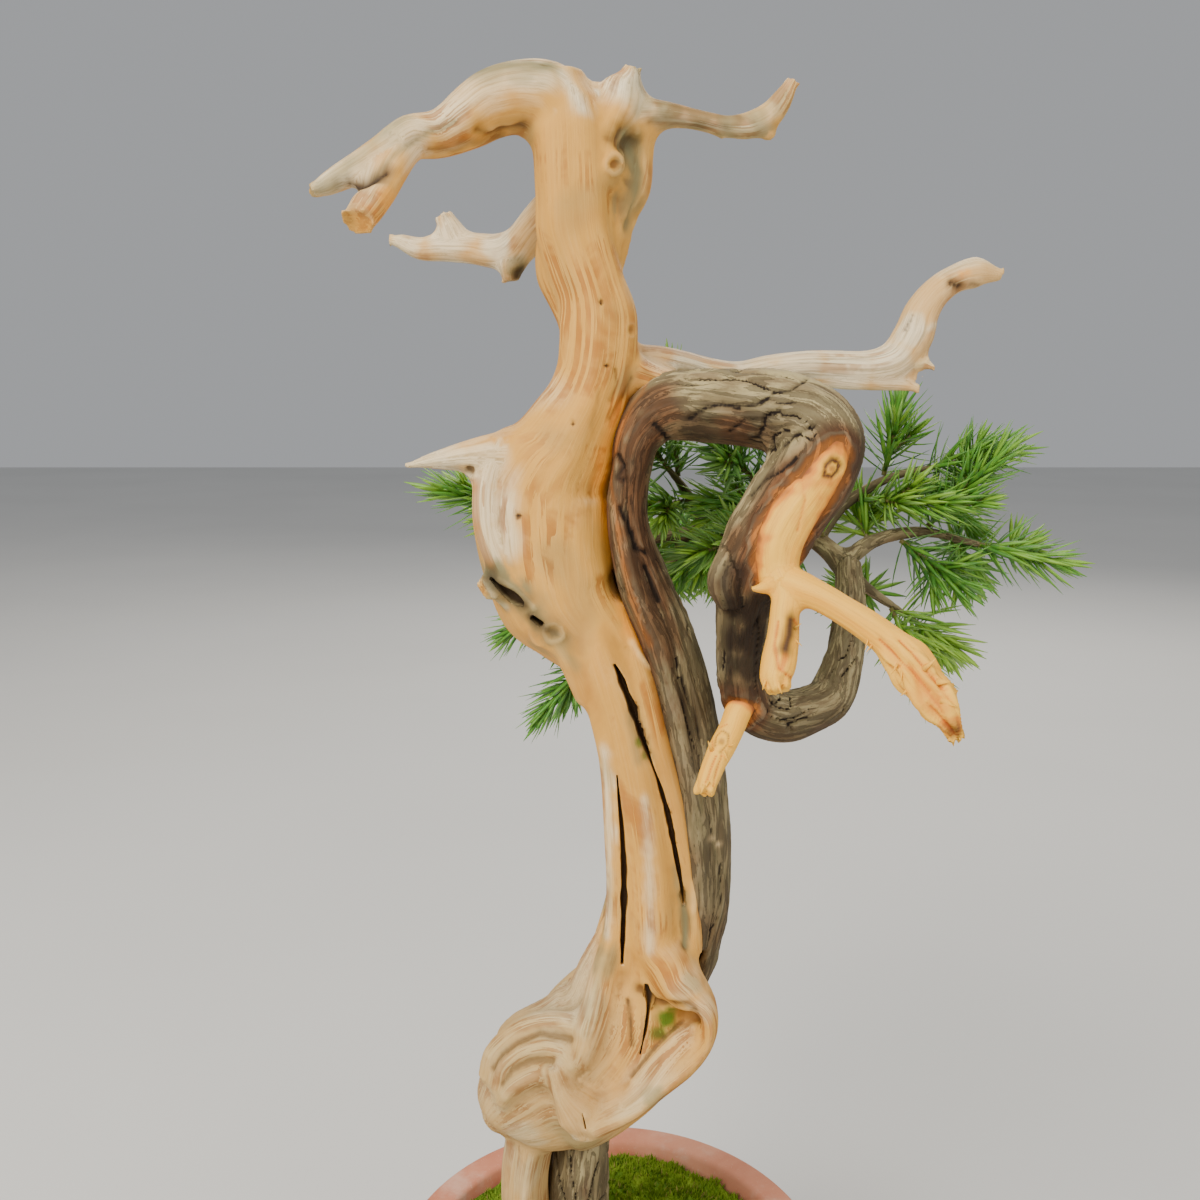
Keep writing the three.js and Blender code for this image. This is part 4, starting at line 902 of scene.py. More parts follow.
@dataclass
class Timber:
    """A piece of wood: limbs fused into one skin, carved along the grain and stained.

    Attributes:
        name: The piece's name.
        slot: The record's material slot.
        nodes: The CAD nodes that it replaces.
        limbs: The limbs that it is made of.
        clefts: Cracks cut into it.
        closing: How wide the valleys between limbs are filled, in millimetres.
        skin: Size of its mesh's faces, in millimetres.
        smoothing: Rounds of smoothing after fusing.
        patches: Its stains, painted shade among them.
        marks: Its knots and pits.
        strokes: Its ridges, grooves and lines of colour, painted shade among them.
        splinters: Thin fibres torn from it.
        relief: The relief of its grain.
        kept: Share of its faces that it keeps once it is carved.
    """

    name: str
    slot: str
    nodes: tuple[str, ...]
    limbs: list[Limb]
    clefts: list[Cleft] = field(default_factory=list)
    closing: float = 2.2
    skin: float = 0.72
    smoothing: int = 4
    patches: list[Patch] = field(default_factory=list)
    marks: list[Mark] = field(default_factory=list)
    strokes: list[Stroke] = field(default_factory=list)
    splinters: list[Splinter] = field(default_factory=list)
    relief: WornGrain = WornGrain()
    kept: float = 1.0

    def build(self) -> Object:
        """Makes the piece.

        Returns:
            Its object.
        """
        whole = self.fuse()
        tree = tree_of(whole)
        cutters = [cleft.limb(tree) for cleft in self.clefts]
        mesh = self.cut(whole, cutters)
        solid = len(mesh.vertices)
        torn = [splinter.mesh(tree) for splinter in self.splinters]
        mesh = fused([mesh, *(fibre for fibre in torn if fibre)], self.name)
        co = coordinates(mesh) / MM
        stains = {stain: np.zeros(len(co)) for stain in Stain}
        skin = Skin(tree, co, normals(mesh), read_limbs(self.limbs, co), stains)
        self.general_stains(skin)
        self.local_stains(skin)
        depth = self.carve(skin) + self.cut_marks(skin) + self.draw_strokes(skin)
        self.shade_clefts(skin, cutters)
        depth[solid:] = 0.0
        set_coordinates(mesh, (co + skin.facing * depth[:, None]) * MM)
        store(mesh, "grain", skin.reading.grain)
        store(mesh, "sure", skin.reading.sure)
        # How far each vertex lies in a hollow or on a ridge, for the finishes' painted shade and painted
        # highlights
        store(mesh, "cavity", self.cavity(mesh))
        for stain, amount in stains.items():
            store(mesh, stain.value, np.clip(amount, 0, 1))
        mesh.materials.clear()
        mesh.materials.append(self.material())
        mesh.shade_smooth()
        return ridden(self.thinned(mesh), self.name, self.slot, self.nodes)

    def thinned(self, mesh: Mesh) -> Mesh:
        """Leaves out faces where the carved mesh is flattest.

        Args:
            mesh: The mesh, which is used up.

        Returns:
            The mesh.
        """
        if self.kept == 1.0:
            return mesh
        obj = linked(mesh, "thinning")
        obj.modifiers.new("Fewer faces", "DECIMATE").ratio = self.kept
        return applied(obj)

    def fuse(self) -> Mesh:
        """Makes one smooth skin of the limbs, with the narrow valleys between them filled.

        Returns:
            The skin.
        """
        grown = [replace(limb, grow=limb.grow + self.closing).mesh() for limb in self.limbs]
        obj = linked(fused(grown, self.name), "fusing")
        self.remesh(obj, FIRST_SKIN * self.skin)
        self.smooth(obj, FIRST_ROUNDS)
        shrink = obj.modifiers.new("Shrink", "DISPLACE")
        shrink.strength = -self.closing * MM
        shrink.mid_level = 0.0
        self.remesh(obj, self.skin)
        self.smooth(obj, self.smoothing)
        return applied(obj)

    def cut(self, whole: Mesh, cutters: list[Limb]) -> Mesh:
        """Cuts the clefts from the skin.

        Args:
            whole: The skin, which is used up.
            cutters: The spaces of the clefts.

        Returns:
            What is left.
        """
        if not cutters:
            return whole
        cutter = linked(fused([limb.mesh() for limb in cutters], "clefts"), "cutter")
        self.remesh(cutter, CLEFT_SKIN)
        cutter.modifiers.new("Fewer faces", "DECIMATE").ratio = CLEFT_KEPT
        return bored(whole, linked(applied(cutter), "cutter"))

    @staticmethod
    def smooth(obj: Object, rounds: int) -> None:
        """Evens out an object's skin.

        Args:
            obj: The object.
            rounds: How often it is smoothed.
        """
        modifier = obj.modifiers.new("Smooth", "SMOOTH")
        modifier.factor = 0.5
        modifier.iterations = rounds

    @staticmethod
    def remesh(obj: Object, size: float) -> None:
        """Gives an object an even skin.

        Args:
            obj: The object.
            size: Size of its faces in millimetres.
        """
        modifier = obj.modifiers.new("Skin", "REMESH")
        modifier.mode = "VOXEL"
        modifier.voxel_size = size * MM
        modifier.use_smooth_shade = True

    def general_stains(self, skin: Skin) -> None:
        """Stains that follow from a rule: none here."""

    def local_stains(self, skin: Skin) -> None:
        """Lays each patch of stain or painted shade round where it shows, drawn out along the grain.

        Args:
            skin: The skin.
        """
        streak = along_grain(skin.reading.grain, 0.4, 0.02, 3.1)
        for patch in self.patches:
            centre = VIEW.hit(skin.tree, patch.column, patch.row)
            if centre is None:
                LOG.info("no wood shows at %s, %s", patch.column, patch.row)
                continue
            away = np.linalg.norm(skin.co - np.array(centre), axis=1) / patch.radius
            skin.add(patch.stain, patch.strength * smoothstep(1.25 - away + 0.6 * streak, 0.0, 0.8))

    def carve(self, skin: Skin) -> np.ndarray:
        """Relief along the grain: swellings, flutes, threads and drying checks.

        Args:
            skin: The skin.

        Returns:
            The height at each vertex, in millimetres.
        """
        relief = self.relief
        share = np.clip(skin.reading.size / FULL_SIZE, 0.25, 1.0)
        grain = skin.reading.grain
        swell = noise_of(skin.co / 15.0, 11.0)
        flute = along_grain(grain, 0.34, 0.012, 1.7)
        thread = along_grain(grain, 0.8, 0.03, 5.3)
        check = along_grain(grain, 0.22, 0.011, 9.9)
        groove = 1 - smoothstep(np.abs(check), 0.0, 0.11)
        broken = smoothstep(along_grain(grain, 0.1, 0.03, 23.0), 0.05, 0.4)
        drawn = relief.flute * flute + relief.thread * thread - relief.check * groove * broken
        return share * (relief.swell * swell + skin.reading.sure * drawn)

    def cut_marks(self, skin: Skin) -> np.ndarray:
        """The knots and pits, whose stains and painted shade are laid too.

        Args:
            skin: The skin.

        Returns:
            The height at each vertex, in millimetres.
        """
        depth = np.zeros(len(skin.co))
        for number, mark in enumerate(self.marks):
            centre = VIEW.hit(skin.tree, mark.column, mark.row)
            if centre is None:
                LOG.info("no wood shows at %s, %s", mark.column, mark.row)
                continue
            offset = skin.co - np.array(centre)
            near = np.nonzero(np.linalg.norm(offset, axis=1) < 3.5 * mark.radius)[0]
            offset = offset[near]
            lobed = 1 + 0.2 * noise_of(unit(offset) * 1.6, 7.0 * number)
            away = np.linalg.norm(offset, axis=1) / (mark.radius * lobed)
            pit = np.exp(-(away**4))
            ring = np.exp(-(((away - 1.3) / 0.4) ** 2))
            depth[near] += mark.rim * ring - mark.depth * pit
            skin.add(Stain.SHADE_AND_DARK, mark.dark * np.exp(-((away / 0.9) ** 4)), near)
            skin.add(Stain.WEATHER, mark.pale_rim * ring, near)
        return depth

    def draw_strokes(self, skin: Skin) -> np.ndarray:
        """The ridges and grooves, whose stains and painted shade are laid too.

        Args:
            skin: The skin.

        Returns:
            The height at each vertex, in millimetres.
        """
        co = skin.co
        depth = np.zeros(len(co))
        for stroke in self.strokes:
            line = VIEW.trace(skin.tree, stroke.path, 2.5)
            if not len(line):
                LOG.info("no wood shows along %s", stroke.path[0])
                continue
            margin = 3 * stroke.width
            near = np.all((co > line.min(0) - margin) & (co < line.max(0) + margin), axis=1)
            near = np.nonzero(near)[0]
            away = np.min(np.linalg.norm(co[near][:, None] - line[None], axis=2), axis=1)
            ragged = 1 + 0.5 * noise_of(co[near] / 3.0, 61.0)
            share = np.exp(-((away / (stroke.width * ragged)) ** 2))
            depth[near] += stroke.height * share
            if stroke.stain:
                skin.add(stroke.stain, stroke.strength * share, near)
        return depth

    @staticmethod
    def shade_clefts(skin: Skin, cutters: list[Limb]) -> None:
        """Paints shade on the walls of the clefts, the deeper the darker.

        Args:
            skin: The skin.
            cutters: The spaces of the clefts.
        """
        if not cutters:
            return
        for i in np.nonzero(read_limbs(cutters, skin.co, 3.0).distance < 1.5)[0]:
            sunk = skin.tree.find_nearest(Vector(skin.co[i]) * MM)[3] / MM
            skin.add(Stain.SHADE_AND_DARK, 0.95 * smoothstep(np.array(sunk), 0.2, 2.4), i)

    @staticmethod
    def cavity(mesh: Mesh) -> np.ndarray:
        """Compares a mesh with a smoothed copy, for painted shade in its hollows and painted highlights on its
        ridges.

        Args:
            mesh: The mesh.

        Returns:
            How far each vertex lies above (towards 1) or below (towards 0) the smoothed one.
        """
        bm = bmesh.new()
        bm.from_mesh(mesh)
        axes = {"use_axis_x": True, "use_axis_y": True, "use_axis_z": True}
        for _ in range(CAVITY_ROUNDS):
            bmesh.ops.smooth_vert(bm, verts=bm.verts, factor=0.5, **axes)
        smooth = np.array([v.co for v in bm.verts])
        bm.free()
        above = np.sum((coordinates(mesh) - smooth) * normals(mesh), axis=1) / MM
        return np.clip(0.5 + above / CAVITY_DEPTH, 0, 1)

    def material(self) -> Material:
        """The piece's finish."""
        raise NotImplementedError


def tree_of(mesh: Mesh) -> BVHTree:
    """Makes a mesh ready for sight lines.

    Args:
        mesh: The mesh.

    Returns:
        The tree of its faces.
    """
    bm = bmesh.new()
    bm.from_mesh(mesh)
    tree = BVHTree.FromBMesh(bm)
    bm.free()
    return tree

class Sheet:
    """Lays out the nodes of one material."""

    def __init__(self, name: str) -> None:
        """Starts an empty material with its surface shader.

        Args:
            name: The material's name.
        """
        self.material = bpy.data.materials.new(name)
        self.material.use_nodes = True
        self.tree = self.material.node_tree
        self.shader = self.tree.nodes["Principled BSDF"]

    def node(self, kind: str, inputs: dict, **settings: object) -> bpy.types.Node:
        """Adds a node.

        Args:
            kind: Its type.
            inputs: Values or sockets for its inputs, by name or number.
            settings: Its other properties.

        Returns:
            The node.
        """
        node = self.tree.nodes.new(kind)
        for key, value in settings.items():
            setattr(node, key, value)
        for key, value in inputs.items():
            if isinstance(value, Socket):
                self.tree.links.new(value, node.inputs[key])
            elif value is not None:
                node.inputs[key].default_value = value
        return node

    def attribute(self, name: str) -> Socket:
        """A number kept for each vertex."""
        return self.node("ShaderNodeAttribute", {}, attribute_name=name).outputs["Fac"]

    def grain(self) -> Socket:
        """Each vertex's place in the grain of the wood."""
        return self.node("ShaderNodeAttribute", {}, attribute_name="grain").outputs["Vector"]

    def place(self) -> Socket:
        """The object's own coordinates."""
        return self.node("ShaderNodeTexCoord", {}).outputs["Object"]

    def noise(
        self, vector: Socket, scale: float, detail: float = 3.0, rough: float = 0.55, bend: float = 0.0
    ) -> Socket:
        """Cloudy noise from 0 to 1."""
        inputs = {"Vector": vector, "Scale": scale, "Detail": detail, "Roughness": rough, "Distortion": bend}
        return self.node("ShaderNodeTexNoise", inputs).outputs["Fac"]

    def drawn_noise(
        self, vector: Socket, across: float, along: float, detail: float, rough: float, bend: float = 0.0
    ) -> Socket:
        """Noise from 0 to 1 that is drawn out along the vector's third axis."""
        scaled = self.node("ShaderNodeMapping", {"Vector": vector, "Scale": (across, across, along)})
        return self.noise(scaled.outputs["Vector"], 1.0, detail, rough, bend)

    def span(self, value: Socket, low: float, high: float, to_low: float = 0.0, to_high: float = 1.0) -> Socket:
        """A value's range turned smoothly into another range."""
        inputs = {"Value": value, "From Min": low, "From Max": high, "To Min": to_low, "To Max": to_high}
        return self.node("ShaderNodeMapRange", inputs, interpolation_type="SMOOTHSTEP").outputs["Result"]

    def maths(self, operation: str, first: Socket | float, second: Socket | float = 0.0) -> Socket:
        """One sum on two numbers, kept from 0 to 1."""
        inputs = {0: first, 1: second}
        return self.node("ShaderNodeMath", inputs, operation=operation, use_clamp=True).outputs[0]

    def times(self, first: Socket | float, second: Socket | float) -> Socket:
        """Two numbers multiplied."""
        return self.maths("MULTIPLY", first, second)

    def hairline(self, value: Socket, width: float) -> Socket:
        """Thin lines where a noise crosses its middle."""
        return self.span(self.maths("ABSOLUTE", self.maths("SUBTRACT", value, 0.5)), 0.0, width, 1.0, 0.0)

    def mix(
        self, factor: Socket | float, first: Socket | Colour, second: Socket | Colour, blend: str = "MIX"
    ) -> Socket:
        """Mixes two colours.

        Args:
            factor: Share of the second.
            first: The colour below.
            second: The colour laid over it.
            blend: The way they are mixed.

        Returns:
            The mixed colour.
        """
        colours = [(*c, 1.0) if isinstance(c, tuple) else c for c in (first, second)]
        inputs = {0: factor, 6: colours[0], 7: colours[1]}
        return self.node("ShaderNodeMix", inputs, data_type="RGBA", blend_type=blend).outputs[2]

    def ramp(self, value: Socket, stops: list[tuple[float, Colour]]) -> Socket:
        """Turns a value into a colour.

        Args:
            value: The value.
            stops: Some values from 0 to 1, each with its colour.

        Returns:
            The colour.
        """
        node = self.node("ShaderNodeValToRGB", {"Fac": value})
        elements = node.color_ramp.elements
        while len(elements) < len(stops):
            elements.new(0.5)
        for element, (position, colour) in zip(elements, stops):
            element.position = position
            element.color = (*colour, 1.0)
        return node.outputs["Color"]

    def bump(self, height: Socket, distance: float, strength: float) -> Socket:
        """A relief of some millimetres."""
        inputs = {"Height": height, "Distance": distance * MM, "Strength": strength}
        return self.node("ShaderNodeBump", inputs).outputs["Normal"]

    def finish(
        self, colour: Socket, roughness: Socket | float, normal: Socket | None = None, gloss: float = 0.3
    ) -> Material:
        """Joins everything to the shader.

        Args:
            colour: The surface's colour.
            roughness: Its roughness.
            normal: Its relief.
            gloss: Strength of its reflections.

        Returns:
            The material.
        """
        self.tree.links.new(colour, self.shader.inputs["Base Color"])
        if isinstance(roughness, Socket):
            self.tree.links.new(roughness, self.shader.inputs["Roughness"])
        else:
            self.shader.inputs["Roughness"].default_value = roughness
        if normal is not None:
            self.tree.links.new(normal, self.shader.inputs["Normal"])
        self.shader.inputs["Specular IOR Level"].default_value = gloss
        return self.material


@dataclass(frozen=True)
class DeadwoodFinish:
    """Bare wood: tan and smooth, silvered and green where it is weathered, with painted shade in its hollows
    and painted highlights on its ridges.
    """

    dark: Colour = (0.46, 0.20, 0.035)
    tan: Colour = (0.64, 0.32, 0.055)
    light: Colour = (0.76, 0.43, 0.095)
    cream: Colour = (0.88, 0.64, 0.28)
    silver: Colour = (0.84, 0.73, 0.50)
    ash: Colour = (0.36, 0.29, 0.17)
    # Also painted shade where it is laid beside the ribs and in a hollow
    algae_and_shade: Colour = (0.21, 0.19, 0.09)
    amber: Colour = (0.90, 0.36, 0.03)
    mossy: Colour = (0.09, 0.15, 0.008)
    shade: Colour = (0.42, 0.30, 0.17)
    # Near black: painted shade in clefts, pits and grooves, and dark wood
    shade_and_dark: Colour = (0.035, 0.02, 0.01)

    def material(self, name: str) -> Material:
        """Mixes the finish.

        Args:
            name: The material's name.

        Returns:
            The material.
        """
        sheet = Sheet(name)
        grain = sheet.grain()
        sure = sheet.attribute("sure")
        cloud = sheet.noise(sheet.place(), 45.0, 4.0, 0.6, 0.5)
        broad = sheet.drawn_noise(grain, 0.1, 0.008, 3.0, 0.55, 0.4)
        broad = sheet.mix(sheet.times(sure, 0.5), cloud, broad)
        fine = sheet.drawn_noise(grain, 1.6, 0.06, 5.0, 0.65, 0.5)
        hair = sheet.drawn_noise(grain, 0.5, 0.012, 3.0, 0.7, 0.5)
        line = sheet.hairline(hair, 0.008)
        line = sheet.times(line, sheet.span(cloud, 0.45, 0.6))
        line = sheet.times(line, sure)
        wood = sheet.ramp(broad, [(0.2, self.dark), (0.45, self.tan), (0.75, self.light)])
        wood = sheet.mix(sheet.times(sheet.span(fine, 0.45, 0.75, 0.0, 0.14), sure), wood, self.cream)
        wood = sheet.mix(sheet.times(sheet.span(fine, 0.5, 0.25, 0.0, 0.3), sure), wood, self.dark)
        wood = sheet.mix(sheet.attribute("pale"), wood, self.cream)
        silver = sheet.mix(sheet.span(fine, 0.25, 0.6), self.ash, self.silver)
        weather = sheet.times(sheet.attribute("weather"), sheet.span(cloud, 0.25, 0.6, 0.6, 1.0))
        wood = sheet.mix(weather, wood, silver)
        amber = sheet.times(sheet.attribute("amber"), sheet.span(cloud, 0.3, 0.6, 0.6, 1.0))
        wood = sheet.mix(amber, wood, self.amber)
        # Painted shade: darker in the mesh's hollows
        cavity = sheet.attribute("cavity")
        low = sheet.span(cavity, 0.48, 0.05, 0.0, 0.8)
        wood = sheet.mix(low, wood, self.shade, "MULTIPLY")
        algae_and_shade = sheet.times(sheet.attribute("algae_and_shade"), sheet.span(cloud, 0.2, 0.6, 0.5, 1.0))
        wood = sheet.mix(algae_and_shade, wood, self.algae_and_shade)
        wood = sheet.mix(sheet.attribute("mossy"), wood, self.mossy)
        wood = sheet.mix(sheet.times(line, 0.6), wood, self.dark, "MULTIPLY")
        # Painted highlight: cream on the mesh's ridges
        wood = sheet.mix(sheet.span(cavity, 0.6, 0.95, 0.0, 0.15), wood, self.cream)
        # Painted shade in clefts, pits and grooves, and dark wood, where it is laid
        wood = sheet.mix(sheet.attribute("shade_and_dark"), wood, self.shade_and_dark)
        rough = sheet.span(fine, 0.3, 0.7, 0.55, 0.8)
        height = sheet.maths("SUBTRACT", sheet.times(fine, sure), sheet.times(line, 0.6))
        return sheet.finish(wood, rough, sheet.bump(height, 0.25, 0.6), 0.25)


@dataclass(frozen=True)
class BarkFinish:
    """Live bark: grey and olive flakes over red-brown, with painted shade in its hollows and painted highlights
    on its ridges.
    """

    grey: Colour = (0.21, 0.155, 0.08)
    olive: Colour = (0.14, 0.115, 0.055)
    brown: Colour = (0.10, 0.05, 0.024)
    rust: Colour = (0.18, 0.08, 0.034)
    orange: Colour = (0.74, 0.24, 0.025)
    lichen: Colour = (0.40, 0.33, 0.17)
    fleck: Colour = (0.33, 0.27, 0.16)
    pale: Colour = (0.60, 0.44, 0.23)
    # Near black: split lines, and the painted shade in the bark's hollows and where it is laid
    crack: Colour = (0.014, 0.008, 0.005)

    def material(self, name: str) -> Material:
        """Mixes the finish.

        Args:
            name: The material's name.

        Returns:
            The material.
        """
        sheet = Sheet(name)
        grain = sheet.grain()
        broad = sheet.drawn_noise(grain, 0.1, 0.03, 4.0, 0.6, 0.4)
        flake = sheet.drawn_noise(grain, 0.5, 0.14, 6.0, 0.65, 0.4)
        fibre = sheet.drawn_noise(grain, 1.3, 0.12, 5.0, 0.7, 0.8)
        bark = sheet.ramp(broad, [(0.3, self.brown), (0.45, self.olive), (0.65, self.grey)])
        bark = sheet.mix(sheet.span(flake, 0.45, 0.65, 0.0, 0.6), bark, self.grey)
        bark = sheet.mix(sheet.span(fibre, 0.6, 0.8, 0.0, 0.25), bark, self.fleck)
        green = sheet.mix(sheet.span(flake, 0.35, 0.6), self.grey, self.lichen)
        bark = sheet.mix(sheet.attribute("algae_and_shade"), bark, green)
        red = sheet.mix(sheet.span(flake, 0.35, 0.65), self.brown, self.rust)
        bark = sheet.mix(sheet.attribute("weather"), bark, red)
        bark = sheet.mix(sheet.attribute("amber"), bark, sheet.mix(fibre, self.rust, self.orange))
        bark = sheet.mix(sheet.attribute("pale"), bark, self.pale)
        cavity = sheet.attribute("cavity")
        # Painted shade: near black in the mesh's hollows
        bark = sheet.mix(sheet.span(cavity, 0.47, 0.1, 0.0, 1.0), bark, self.crack)
        # Painted highlight: lighter on the mesh's ridges
        bark = sheet.mix(sheet.span(cavity, 0.6, 0.95, 0.0, 0.35), bark, self.fleck)
        # Painted shade, and dark bark, where it is laid
        bark = sheet.mix(sheet.attribute("shade_and_dark"), bark, self.crack)
        split = sheet.drawn_noise(grain, 0.55, 0.07, 4.0, 0.6, 0.9)
        edge = sheet.hairline(split, 0.01)
        bark = sheet.mix(sheet.times(edge, 0.5), bark, self.crack)
        height = sheet.maths("SUBTRACT", sheet.mix(0.5, fibre, flake), sheet.times(edge, 0.5))
        rough = sheet.span(fibre, 0.3, 0.7, 0.65, 0.9)
        return sheet.finish(bark, rough, sheet.bump(height, 0.8, 0.9), 0.2)


@dataclass(frozen=True)
class FreshWoodFinish:
    """Freshly peeled wood: pale yellow with tan threads and orange edges, with painted shade in its hollows and
    painted highlights on its ridges.
    """

    pale: Colour = (0.92, 0.51, 0.06)
    yellow: Colour = (0.86, 0.39, 0.02)
    thread: Colour = (0.62, 0.26, 0.03)
    orange: Colour = (0.70, 0.24, 0.02)
    rust: Colour = (0.26, 0.075, 0.02)
    # Painted shade in pits and grooves, and dark spots
    dark: Colour = (0.06, 0.025, 0.01)

    def material(self, name: str) -> Material:
        """Mixes the finish.

        Args:
            name: The material's name.

        Returns:
            The material.
        """
        sheet = Sheet(name)
        grain = sheet.grain()
        broad = sheet.drawn_noise(grain, 0.3, 0.02, 3.0, 0.6, 0.3)
        fine = sheet.drawn_noise(grain, 2.2, 0.08, 5.0, 0.65, 0.3)
        wood = sheet.ramp(broad, [(0.3, self.yellow), (0.6, self.pale)])
        wood = sheet.mix(sheet.span(fine, 0.5, 0.3, 0.0, 0.5), wood, self.thread)
        amber = sheet.attribute("amber")
        wood = sheet.mix(sheet.span(amber, 0.0, 0.6), wood, self.orange)
        wood = sheet.mix(sheet.span(amber, 0.6, 1.0), wood, self.rust)
        cavity = sheet.attribute("cavity")
        # Painted shade: darker in the mesh's hollows
        wood = sheet.mix(sheet.span(cavity, 0.5, 0.2, 0.0, 0.6), wood, self.thread, "MULTIPLY")
        # Painted highlight: paler on the mesh's ridges
        wood = sheet.mix(sheet.span(cavity, 0.55, 0.9, 0.0, 0.35), wood, self.pale)
        # Painted shade in pits and grooves, and dark spots, where they are laid
        wood = sheet.mix(sheet.attribute("shade_and_dark"), wood, self.dark)
        rough = sheet.span(fine, 0.3, 0.7, 0.5, 0.7)
        return sheet.finish(wood, rough, sheet.bump(fine, 0.3, 0.6), 0.3)


# Short names of the stains, painted shade among them, for the tables
W, G, A, P, H, M = Stain.WEATHER, Stain.ALGAE_AND_SHADE, Stain.AMBER, Stain.PALE, Stain.SHADE_AND_DARK, Stain.MOSSY


def bare_limbs() -> list[Limb]:
    """Lists the limbs of the bare trunk.

    Returns:
        The limbs.
    """
    thin = {"sides": 20}
    lying = {"sides": 24, "across": Across.UP}
    return [
        Limb(SPINE, sides=40, ribs=5, rib_depth=0.04, twist=0.004, jag=1.5),
        *(Limb(s, **thin) for s in (FRONT_RIB_LEFT, FRONT_RIB_HOOK, FRONT_RIB_RIGHT, SHOULDER_RIDGE)),
        *(Limb(s, **thin) for s in (BACK_RIB_LEFT, BACK_RIB_RIGHT)),
        Limb(BASE_BODY, sides=40, ribs=3, rib_depth=0.02),
        Limb(BASE_BACK, sides=28),
        *(Limb(s, **thin) for s in (BASE_RIDGE_OUTER, BASE_RIDGE_INNER, BASE_LEDGE, BASE_BEAK, BASE_TONGUE)),
        Limb(NECK, sides=32, ribs=4, rib_depth=0.05),
        Limb(TOP_LEFT, sides=28),
        Limb(TOP_LEFT_FORK_UP, sides=20, jag=1.0),
        Limb(TOP_LEFT_FORK_LOW, sides=20, across=Across.SIDE, fill=0.88, jag=1.4),
        *(Limb(s, sides=24, jag=1.2) for s in (TOP_RIGHT_STUB, TOP_RIGHT)),
        *(Limb(s, **thin) for s in (TOP_RIGHT_BARB, TOP_RIGHT_SPUR, TOP_EDGE_STRAND)),
        *(Limb(s, **thin) for s in (TOP_FLANGE, TOP_FLANGE_FLOOR)),
        *(Limb(s, **lying) for s in (TOP_KNOT, BACK_LEFT, KNOT_UPPER, KNOT_LOWER)),
        Limb(RIGHT_ARM, sides=24, jag=1.2),
        *(Limb(s, **thin) for s in (BACK_LEFT_HORN, BACK_LEFT_LUMP, LEFT_THORN)),
        *(Limb(s, **thin) for s in (RIGHT_ARM_ROOT, RIGHT_ARM_SPLINTER, RIGHT_ARM_KEEL)),
    ]


def vein_limbs() -> list[Limb]:
    """The limbs of the live vein and the branch."""
    sides = ((VEIN_FLANK, 24), (VEIN_SEAM, 24), (BARK_KNUCKLE, 20))
    return [Limb(VEIN, sides=36, twist=0.006), *(Limb(s, sides=n) for s, n in sides)]


def twig_limbs() -> list[Limb]:
    """The limbs of the crown's twigs."""
    ways = [Across.UP if i == BACKWARD_TWIG else Across.FRONT for i in range(len(TWIGS))]
    return [Limb(s, sides=14, across=way) for s, way in zip(TWIGS, ways)]


def elbow_limbs() -> list[Limb]:
    """The limbs of the peeled patch and its two stubs."""
    tables = (PEELED_PATCH, PEELED_FRONT, PEELED_RIGHT, PEELED_RIGHT_BARB, PEELED_THORN)
    return [Limb(s, sides=24, jag=0.0 if s is PEELED_PATCH else 1.0) for s in tables]


class BareTrunk(Timber):
    """The weathered trunk with its dead branches."""

    def general_stains(self, skin: Skin) -> None:
        """Silver on what faces up and outwards, green low down, amber beside the live vein.

        Args:
            skin: The skin.
        """
        co, facing, stains = skin.co, skin.facing, skin.stains
        cloud = noise_of(co / 22.0, 31.0)
        low = smoothstep(co[:, 2], 165.0, 195.0)
        stains[W] += 0.5 * smoothstep(facing[:, 2] + 0.9 * cloud, 0.3, 1.0)
        grey = (1 - low) * smoothstep(-co[:, 0] + 9 * cloud, -12.0, 6.0)
        stains[W] += 0.25 * grey
        stains[G] += 0.15 * (1 - low) + 0.25 * grey
        stains[G] += 0.35 * smoothstep(-facing[:, 2] * 0.5 + 1.3 * noise_of(co / 15.0, 47.0), 0.35, 0.9)
        behind = smoothstep(co[:, 1], -2.0, 12.0)
        stains[W] += 0.35 * behind
        vein = read_limbs(vein_limbs()[:1], co)
        ragged = 1.2 * along_grain(skin.reading.grain, 0.5, 0.08, 71.0)
        upper = smoothstep(co[:, 2], 225.0, 262.0) * (1 - smoothstep(co[:, 2], 330.0, 340.0))
        line = 1 - smoothstep(vein.distance + ragged, 0.0, 2.0)
        skin.add(A, (0.25 + 0.5 * upper) * line)

    def material(self) -> Material:
        """Weathered bare wood."""
        return DeadwoodFinish().material("bare_wood")


